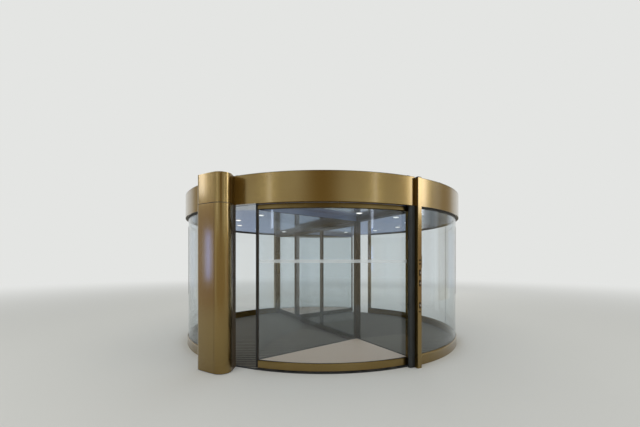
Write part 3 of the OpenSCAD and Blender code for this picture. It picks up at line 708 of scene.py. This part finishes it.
# Turned parts: radius, height, and how far out from the post's face they start
CORE = (0.0080, 0.0022, LOCK_OUT - 0.0005)
ROSETTE = (0.0135, 0.0040, PLATE_OUT - 0.0003)
CAP = (0.0086, 0.0030, LOCK_OUT - 0.0005)
PLATE_SCREW = (0.0026, 0.0013, PLATE_OUT - 0.0003)
PLATE_SCREW_OFF = 0.038
KEY_SLOT_HALF = (0.0008, 0.0042)
KEY_SLOT_CLEAR = 0.003
PLATE_SIZE = (0.100, 0.028)
PLATE_ROUND = 0.013
PLATE_THICK = 0.003
PLATE_MIDDLE = 0.0016
GRIP_OUT = (SWITCH_OUT - 0.0004, SWITCH_OUT + 0.0032)
GRIP_HALF = (0.0018, 0.0085)
READER_WINDOW = ((3.0140, 0.0522, 1.548), (3.0280, 0.0529, 1.713))

# Dark nickel over turned brass: a brown-grey metal whose brushing is drawn at about 1 mm.
dark_nickel = new_finish(
    "dark_nickel_plated_brass",
    waves=900,
    tones=("#332D25", "#443C31"),
    rough=(0.26, 0.34),
    constants={"Metallic": 1},
)
# Bright nickel: pale and nearly mirror smooth, with key scratches that dull it in specks of
# about 1.5 mm.
bright_nickel = new_finish(
    "bright_nickel_plated_brass",
    waves=700,
    tones=("#BDBBB3", "#D3D1CA"),
    rough=(0.14, 0.24),
    constants={"Metallic": 1},
)
# Smoked acrylic over the reader's window: black and glossy.
smoked_acrylic = new_finish(
    "smoked_acrylic", waves=30, tones=("#0B0C0D", "#101213"), rough=(0.06, 0.09)
)
dress(dark_nickel, "control_knobs")


def turned_bar(radius, length, middle, sides=24, tilt=0):
    """A round or many-sided bar along Z, or along +X with a tilt of 90 degrees."""
    deselect()
    bpy.ops.mesh.primitive_cylinder_add(
        vertices=sides,
        radius=radius,
        depth=length,
        location=middle,
        rotation=(0, math.radians(tilt), 0),
    )
    return settled(bpy.context.object)


def round_stud(radius, height, out, sides=24):
    """A short stud on the post's face at height 0, with a face that is dished a little."""
    middle = (CONTROL_FACE + out + height / 2, 0, 0)
    stud = turned_bar(radius, height, middle, sides, tilt=90)
    pressed(
        stud,
        lambda middle, normal: normal.x > 0.9,
        border=radius * 0.25,
        way=(-height * 0.15, 0, 0),
    )
    bpy.ops.object.shade_smooth_by_angle(angle=math.radians(30))
    return stud


def cut_slot(part, low, high):
    """Cuts a box out of a part with a boolean that is applied."""
    cutter = box_part(low, high)
    slot_cut = part.modifiers.new("slot_cut", "BOOLEAN")
    slot_cut.operation, slot_cut.object, slot_cut.solver = "DIFFERENCE", cutter, "EXACT"
    select_alone(part)
    bpy.ops.object.modifier_apply(modifier=slot_cut.name)
    bpy.data.objects.remove(cutter)
    return part


def at_heights(parts, heights):
    """Copies of parts on the post's face at some heights. The parts themselves are removed."""
    copies = [copied(part, CONTROL_TURN, (0, 0, z)) for z in heights for part in parts]
    for part in parts:
        bpy.data.objects.remove(part)
    return copies


slot_foot = CONTROL_FACE + LOCK_OUT
slot_y, slot_z = KEY_SLOT_HALF
core = cut_slot(
    round_stud(*CORE),
    (slot_foot, -slot_y, -slot_z),
    (slot_foot + KEY_SLOT_CLEAR, slot_y, slot_z),
)
rosette = round_edges(round_stud(*ROSETTE))
bright = at_heights([core, rosette], LOCK_HEIGHTS)
fit(joined(bright), "lock_cores", "drum", bright_nickel)

deselect()
bpy.ops.mesh.primitive_plane_add(
    size=1,
    location=(CONTROL_FACE + PLATE_MIDDLE, 0, 0),
    rotation=(0, math.radians(90), 0),
)
plate = bpy.context.object
plate.scale = (*PLATE_SIZE, 1)
settled(plate)
bpy.ops.object.mode_set(mode="EDIT")
bpy.ops.mesh.select_all(action="SELECT")
bpy.ops.mesh.bevel(offset=PLATE_ROUND, segments=8, affect="VERTICES")
bpy.ops.object.mode_set(mode="OBJECT")
sheet = plate.modifiers.new("plate_thickness", "SOLIDIFY")
sheet.thickness, sheet.offset = PLATE_THICK, 0
bpy.ops.object.modifier_apply(modifier=sheet.name)
round_edges(plate, width=0.0006)

plate_screw = round_stud(*PLATE_SCREW, sides=16)
cap = round_edges(round_stud(*CAP), width=0.0009)
grip = box_part(
    (CONTROL_FACE + GRIP_OUT[0], -GRIP_HALF[0], -GRIP_HALF[1]),
    (CONTROL_FACE + GRIP_OUT[1], GRIP_HALF[0], GRIP_HALF[1]),
)
dark = at_heights(
    [plate_screw], [z + off for z in LOCK_HEIGHTS for off in (-PLATE_SCREW_OFF, PLATE_SCREW_OFF)]
)
dark += at_heights([plate], [LOW_LOCK])
dark += at_heights([round_edges(grip)], SWITCH_HEIGHTS)
dark += at_heights([cap], [BUTTON_HEIGHT])
fit(joined(dark), "switch_grips_and_screws", "drum", dark_nickel)

reader_window = round_edges(box_part(*READER_WINDOW), width=0.0003)
fit(turned(reader_window, CONTROL_TURN), "reader_window", "drum", smoked_acrylic)

# Outlet grille in the column
# Black powder-coated louvres over the air curtain's outlet, let into the opening face.
# The coat's orange peel is drawn at about 2 mm, and dust speckles it brown.
grille_coat = new_finish(
    "black_powder_coat",
    waves=420,
    tones=("#382D20", "#6A583F"),
    rough=(0.42, 0.58),
    relief=0.0006,
)
dress(grille_coat, "column_grille")

# Service column
# Bronze anodised cladding folded round the air curtain and the controls beside the opening,
# in a lower casing and a head that closes it at the canopy. Its seam and the recessed joints
# at its foot and under its head are black with painted shade: a black strip lies in the
# seam, and the joints' faces take black rubber.
COLUMN_OUT_R = 3.309
COLUMN_SEAM = -28.5
PASSAGE = 2.5
JOINT_SHADE_BAND = 0.0088
SEAM_SHADE_DEPTHS = (0.0039, 0.0026)
SEAM_SHADE_HALF = 0.0017
SEAM_SHADE_Z = (0.010, 2.490)


def smooth_copy(name):
    """A copy of a CAD node with its triangles merged and its curves shaded smooth."""
    copy = nodes[name].copy()
    copy.data = nodes[name].data.copy()
    copy.parent = None
    for key in list(copy.keys()):
        del copy[key]
    scene.collection.objects.link(copy)
    select_alone(copy)
    bpy.ops.mesh.customdata_custom_splitnormals_clear()
    bpy.ops.object.mode_set(mode="EDIT")
    bpy.ops.mesh.select_all(action="SELECT")
    bpy.ops.mesh.remove_doubles(threshold=1e-5)
    bpy.ops.mesh.dissolve_limited(angle_limit=math.radians(0.1))
    bpy.ops.object.mode_set(mode="OBJECT")
    bpy.ops.object.shade_smooth_by_angle(angle=math.radians(25))
    return copy


for node in ("column_lower", "column_head"):
    cladding = fit(smooth_copy(node), node + "_cladding", "drum", satin_bronze)
    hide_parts(node)
    if node == "column_lower":
        # Painted shade: the faces of the recessed joints at the foot and under the head turn
        # black, for the shade in them.
        cladding.data.materials.append(black_rubber)
        for face in cladding.data.polygons:
            if not JOINT_SHADE_BAND <= face.center.z <= PASSAGE - JOINT_SHADE_BAND:
                face.material_index = 1
# Painted shade: a black strip in the seam, for the shade in it.
seam_shade_strip = box_part(
    (COLUMN_OUT_R - SEAM_SHADE_DEPTHS[0], -SEAM_SHADE_HALF, SEAM_SHADE_Z[0]),
    (COLUMN_OUT_R - SEAM_SHADE_DEPTHS[1], SEAM_SHADE_HALF, SEAM_SHADE_Z[1]),
)
turned(round_edges(seam_shade_strip, width=0.0004), COLUMN_SEAM - 90)
fit(seam_shade_strip, "column_seam_shade_strip", "drum", black_rubber)

# Canopy fascia
# Four bands of folded aluminium sheet, bronze anodised, hung on the canopy's ring. A hem
# strip runs along the lower edge. A black strip on the upper edge is painted shade, the dark
# line of shade along the bands' top, and dark clips hold the bands down.
EDGE_SHADE_RADII = (2.9714, 2.9744)
EDGE_SHADE_Z = (2.940, 2.945)
BAND_ENDS = [(-32.7, 28.55), (30.25, 148.35), (148.45, 208.55), (210.25, 327.2)]
dress(satin_bronze, "fascia_inside", "fascia_right", "fascia_street", "fascia_left")
dress(black_plastic, "fascia_clips")
# Painted shade: black strips along the bands' upper edge, for the line of shade there.
edge_shade_strips = [curved_strip(EDGE_SHADE_RADII, EDGE_SHADE_Z, ends) for ends in BAND_ENDS]
fit(joined(edge_shade_strips), "fascia_edge_shade_strip", "drum", black_plastic)

# Brush seal of the canopy
# A ring of black nylon bristle held in the canopy's lower edge. It closes the gap round the
# turning ceiling against draughts, and its black is also painted shade, the shade in that gap.
SEAL_RADII = (2.8835, 2.8955)
SEAL_Z = (2.5045, 2.5200)
# Nylon hairs, upright and dull: they are drawn about 2 mm wide, so that they show.
bristle = new_finish(
    "black_nylon_bristle",
    waves=500,
    tones=("#0F1011", "#2C2D2E"),
    rough=(0.5, 0.65),
    drawn=(1, 1, 0.05),
)
# Partly painted shade: the black ring also stands in for the shade in the gap under the fascia.
canopy_brush_and_shade = curved_strip(SEAL_RADII, SEAL_Z, (0, 360), edge=0.001)
fit(canopy_brush_and_shade, "canopy_brush_seal_and_gap_shade", "drum", bristle)

# Carrying structure in the canopy
# A rolled channel ring and two beams of hot-dip galvanised steel, with the bearing housing
# bolted across them. The shaft's flange is bolted to the turning ceiling.
BOLT = (0.012, 0.0055)
WASHER_THICK = 0.002
HOUSING_BOLT_X = (-0.26, -0.20, 0.20, 0.26)
HOUSING_BOLT_Y = (-0.25, 0.25)
HOUSING_TOP = 2.8601
FLANGE_BOLTS = 8
FLANGE_BOLT_PLACE = (0.225, 0, 2.5501)
# Hot-dip zinc: a dull grey metal in crystals of about 15 mm.
galvanised = new_finish(
    "hot_dip_galvanised_steel", waves=4, rough=(0.42, 0.55), constants={"Metallic": 0.9}
)
tree = galvanised.node_tree
place = tree.nodes["Texture Coordinate"]
spangle = add_node(
    tree, "ShaderNodeTexVoronoi", {"Scale": 70}, {"Vector": (place, "Object")}
)
spangle_tone = add_node(tree, "ShaderNodeValToRGB", links={"Fac": (spangle, "Color")})
blend_stops(spangle_tone, [(0.2, "#7D8182"), (0.8, "#A2A6A7")])
tree.links.new(spangle_tone.outputs["Color"], tree.nodes["Principled BSDF"].inputs["Base Color"])
dress(galvanised, "canopy_ring", "canopy_beams", "bearing_housing", "rotor_shaft")


def hex_bolt(radius, height):
    """A hexagon bolt head on its washer, standing on height 0."""
    washer = turned_bar(radius * 1.35, WASHER_THICK, (0, 0, WASHER_THICK / 2))
    head = turned_bar(radius, height, (0, 0, WASHER_THICK + height / 2), sides=6)
    pressed(head, faces_up, border=radius * 0.12, way=(0, 0, height * 0.1))
    return joined([washer, head])


bolt = hex_bolt(*BOLT)
housing_bolts = [
    copied(bolt, 0, (x, y, HOUSING_TOP)) for x in HOUSING_BOLT_X for y in HOUSING_BOLT_Y
]
fit(joined(housing_bolts), "housing_bolts", "drum", galvanised)
flange_bolts = [
    copied(bolt, 360 * (number + 0.5) / FLANGE_BOLTS, FLANGE_BOLT_PLACE)
    for number in range(FLANGE_BOLTS)
]
fit(joined(flange_bolts), "flange_bolts", "rotor", galvanised)
bpy.data.objects.remove(bolt)

# Dust cover of the canopy
# Four folded sheets, coated dark bronze, over the mechanism. Strips cover their joints,
# pan-head screws hold strips and edges, and two pressed lids open for service.
ROOF_TOP = 2.885
ROOF_REACH = 2.925
SEAM_HALF = 0.022
SEAM_TOP = ROOF_TOP + 0.002
SHORT_STRIP_FROM = 0.023
LID = ((0.62, 0.62, ROOF_TOP), (1.52, 1.22, ROOF_TOP + 0.003))
ROOF_SCREW = (0.006, 0.0024)
EDGE_SCREWS = 24
EDGE_SCREW_R = 2.905
SEAM_SCREW_X = [0.3 + 0.42 * number for number in range(7)]
SEAM_SCREW_Y = 0.0121
LID_SCREWS = [(x, y, ROOF_TOP + 0.0028) for x in (0.640, 1.500) for y in (0.70, 1.14)]
# Dark bronze powder coat under a film of settled dust, which lightens it in soft patches.
roof_coat = new_finish(
    "dark_bronze_powder_coat",
    waves=2.2,
    tones=("#463D33", "#574E43"),
    rough=(0.45, 0.65),
    detail=6,
)
dress(roof_coat, "roof_cover")


def screw_head(radius, height):
    """A pan head with a round socket, standing on height 0."""
    head = turned_bar(radius, height, (0, 0, height / 2), sides=18)
    pressed(head, faces_up, border=radius * 0.2, way=(0, 0, height * 0.3))
    pressed(
        head,
        lambda middle, normal: middle.z > height,
        border=radius * 0.35,
        way=(0, 0, -height * 0.5),
    )
    return head


long_strip = box_part((-ROOF_REACH, -SEAM_HALF, ROOF_TOP), (ROOF_REACH, SEAM_HALF, SEAM_TOP))
short_strip = box_part(
    (SHORT_STRIP_FROM, -SEAM_HALF, ROOF_TOP), (ROOF_REACH, SEAM_HALF, SEAM_TOP)
)
strips = [long_strip, turned(short_strip, 90), copied(short_strip, 180)]
fit(round_edges(joined(strips)), "roof_joint_strips", "drum", roof_coat)

lid = pressed(box_part(*LID), faces_up, border=0.030, way=(0, 0, 0.006))
fit(paired(round_edges(lid, width=0.0011)), "roof_lids", "drum", roof_coat)

screw = screw_head(*ROOF_SCREW)
screws = [
    copied(screw, 360 * (number + 0.5) / EDGE_SCREWS, (EDGE_SCREW_R, 0, ROOF_TOP))
    for number in range(EDGE_SCREWS)
]
for turn in (0, 90, 180, 270):
    for number, x in enumerate(SEAM_SCREW_X):
        y = SEAM_SCREW_Y if number % 2 else -SEAM_SCREW_Y
        screws.append(copied(screw, turn, (x, y, SEAM_TOP)))
screws += [copied(screw, turn, spot) for turn in (0, 180) for spot in LID_SCREWS]
fit(joined(screws), "roof_screws", "drum", galvanised)
bpy.data.objects.remove(screw)

# Turning ceiling
# Flat lacquered panels, blue-grey and glossy enough to mirror what stands under them, with
# an anodised edge trim over each passage. Their blue is painted light: the bluish daylight
# that they reflect.
CEILING_TRIM_RADII = (2.8645, 2.8795)
CEILING_TRIM_Z = (2.4972, 2.4998)
CEILING_TRIM_ENDS = (33.5, 156.5)
# Blue-grey lacquer under a polished clear coat, which mirrors the uprights sharply. Its blue is
# painted light, the bluish daylight that it reflects.
ceiling_lacquer = new_finish(
    "grey_polished_lacquer",
    waves=45,
    tones=("#8495B8", "#8C9DC0"),
    rough=(0.14, 0.2),
    constants={"Coat Weight": 1.0, "Coat Roughness": 0.03},
)
dress(ceiling_lacquer, "rotor_ceiling")
trim = curved_strip(CEILING_TRIM_RADII, CEILING_TRIM_Z, CEILING_TRIM_ENDS, edge=0.0008)
fit(paired(trim), "ceiling_edge_trim", "rotor", satin_bronze)

# Ceiling spots
# White enamelled rings of pressed steel, thirteen in a circle, clipped into holes in the
# ceiling. Each holds a frosted glass lens that glows.
SPOT_COUNT = 13
SPOT_FROM = -8
SPOT_R = 1.960
LENS_R = 0.0355
LENS_Z = 2.4971
LENS_THICK = 0.0012
# Baked enamel, clean white and glossy. It glows a little, as the lamp's light spills on it.
spot_enamel = new_finish(
    "white_enamel",
    waves=80,
    tones=("#E4E3DF", "#EBEAE7"),
    rough=(0.25, 0.35),
    constants={"Emission Color": linear_colour("#E8E6E0"), "Emission Strength": 0.8},
)
dress(spot_enamel, "ceiling_spots")
# Frosted glass, lit from behind to a plain white.
frosted_lens = new_finish(
    "frosted_lens_glass",
    waves=300,
    tones=("#F1F0EB", "#F8F7F4"),
    rough=(0.4, 0.5),
    constants={"Emission Color": linear_colour("#FFFDF6"), "Emission Strength": 1.8},
)
lens = turned_bar(LENS_R, LENS_THICK, (SPOT_R, 0, LENS_Z - LENS_THICK / 2), sides=40)
pressed(
    lens,
    lambda middle, normal: normal.z < -0.9,
    border=LENS_R * 0.3,
    way=(0, 0, -LENS_THICK),
)
bpy.ops.object.shade_smooth_by_angle(angle=math.radians(40))
lenses = [copied(lens, SPOT_FROM - 90 + 360 * number / SPOT_COUNT) for number in range(SPOT_COUNT)]
fit(joined(lenses), "spot_lenses", "rotor", frosted_lens)
bpy.data.objects.remove(lens)

# Header with the leaves' track
# One extruded aluminium section across the rotor, dark bronze anodised and screwed up to the
# ceiling from below. Black brushes edge the slot that the leaves hang through.
WING_TURN = 29.3 - 90
HEAD_Z = 2.422
HEADER_SCREW = (0.0048, 0.0009)
HEADER_SCREW_X = [0.18 + 0.5 * number for number in range(6)]
HEADER_SCREW_Y = 0.064
HEADER_REACH = 2.818
SLOT_BRUSH_Y = (0.0085, 0.022)
SLOT_BRUSH_FOOT = 2.419
# Dark bronze anodising: a browner, deeper oxide than the drum's, in slow clouds of tone.
dark_bronze = new_finish(
    "dark_bronze_anodised_aluminium",
    waves=1.9,
    tones=("#3F3526", "#4A3E2C"),
    rough=(0.3, 0.36),
    detail=3,
    constants={"Metallic": 1, "Coat Weight": 0.6, "Coat Roughness": 0.2},
)
dress(dark_bronze, "header_track")


def tipped(part, angle):
    """Turns a part about the X axis, and settles that into its mesh."""
    part.rotation_euler.x = math.radians(angle)
    return settled(part)


# Zinc-plated steel, pale blue-grey and bright.
zinc_plate = new_finish(
    "zinc_plated_steel",
    waves=500,
    tones=("#8F9598", "#ABB1B4"),
    rough=(0.25, 0.38),
    constants={"Metallic": 1},
)
screw = tipped(screw_head(*HEADER_SCREW), 180)
screws = [
    copied(screw, WING_TURN + turn, (x, y, HEAD_Z))
    for turn in (0, 180)
    for x in HEADER_SCREW_X
    for y in (-HEADER_SCREW_Y, HEADER_SCREW_Y)
]
fit(joined(screws), "header_screws", "rotor", zinc_plate)
bpy.data.objects.remove(screw)
slot_brush = box_part(
    (-HEADER_REACH, SLOT_BRUSH_Y[0], SLOT_BRUSH_FOOT), (HEADER_REACH, SLOT_BRUSH_Y[1], HEAD_Z)
)
turned(round_edges(slot_brush), WING_TURN)
fit(paired(slot_brush), "track_slot_brushes", "rotor", bristle)

# Rotor frame
# Slim extruded sections, anodised in four tones: bronze on the curved bottom rails, bronze
# darkened with painted shade on head rails and end stiles, dark bronze inside and nearly
# black on the noses.
# The head rails of the slanted sides are lacquered like the ceiling that they hang from.
HEAD_RAIL_FOOT = 2.421
dress(satin_bronze, "curved_bottom_rails")
# Bronze anodising darkened with painted shade, for the shade under the canopy: browner, in slow
# clouds of tone.
shaded_bronze = new_finish(
    "bronze_anodised_aluminium_painted_shade",
    waves=1.6,
    tones=("#675734", "#6F5F3C"),
    rough=(0.24, 0.3),
    constants={"Metallic": 1},
)
# Painted shade: head rails and end stiles take the darkened bronze.
dress(shaded_bronze, "curved_top_rails", "end_stiles")
dress(dark_bronze, "apex_posts", "screen_rails")
slant_bars = fit(smooth_copy("slant_rails"), "slant_bars", "rotor", dark_bronze)
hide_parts("slant_rails")
slant_bars.data.materials.append(ceiling_lacquer)
for face in slant_bars.data.polygons:
    face.material_index = int(face.center.z > HEAD_RAIL_FOOT)
# Black anodising, satin: a deep neutral brown-black metal.
black_anodised = new_finish(
    "black_anodised_aluminium",
    waves=3,
    tones=("#3B3835", "#47433F"),
    rough=(0.34, 0.42),
    constants={"Metallic": 1},
)
dress(black_anodised, "nose_stiles")

# Rotor glass
# Clear laminated panes, bent round the noses and flat on the slanted sides and screens,
# held in the rails by black gaskets. A frosted film at eye height marks the bent ones.
ROTOR_MID_R = 2.858
ROTOR_GLASS = (-19.8, 27.5)
ROTOR_GLASS_Z = (0.141, HEAD_Z)
ROTOR_LIP = (0.0038, 0.0025)
FLAT_SIDES = [
    # reach along +X, turn and shift of a wing's slanted side and of its screen
    ((0.044, 2.080), -80.33, (1.485, -0.070, 0)),
    ((1.522, 2.818), 0, (0, -0.052, 0)),
]
FILM_RADII = (2.8643, 2.8646)
FILM_Z = (1.615, 1.665)
FILM_ENDS = (-19.6, 27.4)
dress(clear_glass, "curved_glass", "slant_glass", "screen_glass", "leaf_a_glass", "leaf_b_glass")


def on_flat_sides(across, upright, edge):
    """Bars of one section, one along each flat side of the first wing."""
    bars = []
    for (start, end), turn, shift in FLAT_SIDES:
        bar = box_part((start, across[0], upright[0]), (end, across[1], upright[1]))
        turned(round_edges(bar, width=edge), turn)
        bars.append(turned(bar, WING_TURN, shift))
    return bars


seals = [
    curved_strip(across, upright, ROTOR_GLASS, edge=GASKET_ROUND)
    for across, upright in gasket_sections(ROTOR_MID_R, ROTOR_GLASS_Z, ROTOR_LIP)
]
for across, upright in gasket_sections(0, ROTOR_GLASS_Z, ROTOR_LIP):
    seals += on_flat_sides(across, upright, GASKET_ROUND)
fit(paired(joined(seals)), "rotor_glass_gaskets", "rotor", black_rubber)

# Etched vinyl film: a thin milky white, half clear, that dulls what is behind it.
etched_film = new_finish(
    "etched_vinyl_film",
    waves=400,
    tones=("#DDE3E4", "#EAEFEF"),
    rough=(0.55, 0.65),
    constants={"Alpha": 0.3},
)
film = curved_strip(FILM_RADII, FILM_Z, FILM_ENDS)
fit(paired(film), "glass_marking_film", "rotor", etched_film)

# Showcase floors
# Laminated boards, pale beige with fine flecks of about 6 mm, sawn to the wings' plan and
# laid flush with the rails round them.
board = new_finish(
    "pale_beige_laminate", waves=160, tones=("#C9B49F", "#D9C5B1"), rough=(0.4, 0.5), detail=3
)
dress(board, "showcase_floors")

# Brushes
# Strips of black nylon bristle in slim zinc-plated holders, pressed into the undersides of
# the rails and the edges of the end stiles and noses.
HOLDER_Z = (0.0275, 0.033)
HOLDER_HALF = 0.0075
HOLDER_ROUND = 0.001
dress(bristle, "rotor_brushes", "leaf_a_brush", "leaf_b_brush")
holder_radii = (ROTOR_MID_R - HOLDER_HALF, ROTOR_MID_R + HOLDER_HALF)
holders = [curved_strip(holder_radii, HOLDER_Z, ROTOR_GLASS, edge=HOLDER_ROUND)]
holders += on_flat_sides((-HOLDER_HALF, HOLDER_HALF), HOLDER_Z, HOLDER_ROUND)
fit(paired(joined(holders)), "brush_holders", "rotor", zinc_plate)

# Sliding leaves
# Two framed panes that hang from the header and meet at the rotor's middle. Each has a
# black gasket all round its glass, a soft nose on its meeting stile and its own brush.
GASKET_FRAME = ((0.047, 0.140), (1.459, 2.357))
GASKET_W = 0.007
LEAF_LIP = 0.0045
NOSE = ((0.0006, -0.013, 0.037), (0.0034, 0.013, 2.412))
AXLE_NUT = (0.0062, 0.0022)
AXLE_X = (0.276, 0.336, 1.176, 1.236)
AXLE_END = 0.032
AXLE_Z = 2.4463
LEAF_HOLDER_X = (0.007, 1.499)
dress(dark_bronze, "leaf_a_frame", "leaf_b_frame")
# The hangers are zinc plated too, and their wheels are turned steel, pale grey and oily.
dress(zinc_plate, "leaf_a_hangers", "leaf_b_hangers")


def window_part(low, high, border):
    """A flat frame: a box whose two wide faces are inset and bridged through."""
    part = box_part(low, high)
    pick_faces(part, lambda middle, normal: abs(normal.y) > 0.9)
    bpy.ops.mesh.inset(thickness=border)
    bpy.ops.mesh.bridge_edge_loops()
    bpy.ops.object.mode_set(mode="OBJECT")
    return part


for body, turn in (("leaf_a", WING_TURN), ("leaf_b", WING_TURN + 180)):
    (low_x, low_z), (high_x, high_z) = GASKET_FRAME
    gaskets = []
    for side in (-1, 1):
        low_y, high_y = sorted((side * (GLASS_HALF + GASKET_GAP), side * (GLASS_HALF + LEAF_LIP)))
        gasket = window_part((low_x, low_y, low_z), (high_x, high_y, high_z), GASKET_W)
        gaskets.append(turned(round_edges(gasket, width=GASKET_ROUND), turn))
    fit(joined(gaskets), body + "_gaskets", body, black_rubber)

    nose = turned(round_edges(box_part(*NOSE), width=0.0013, segments=3), turn)
    fit(nose, body + "_soft_nose", body, black_rubber)

    nut = tipped(hex_bolt(*AXLE_NUT), -90)
    nuts = []
    for y in (AXLE_END, -AXLE_END):
        nuts += [copied(nut, turn, (x, y, AXLE_Z)) for x in AXLE_X]
        turned(nut, 180)
    fit(joined(nuts), body + "_axle_nuts", body, zinc_plate)
    bpy.data.objects.remove(nut)

    holder = box_part(
        (LEAF_HOLDER_X[0], -HOLDER_HALF, HOLDER_Z[0]), (LEAF_HOLDER_X[1], HOLDER_HALF, HOLDER_Z[1])
    )
    turned(round_edges(holder, width=HOLDER_ROUND), turn)
    fit(holder, body + "_brush_holder", body, zinc_plate)
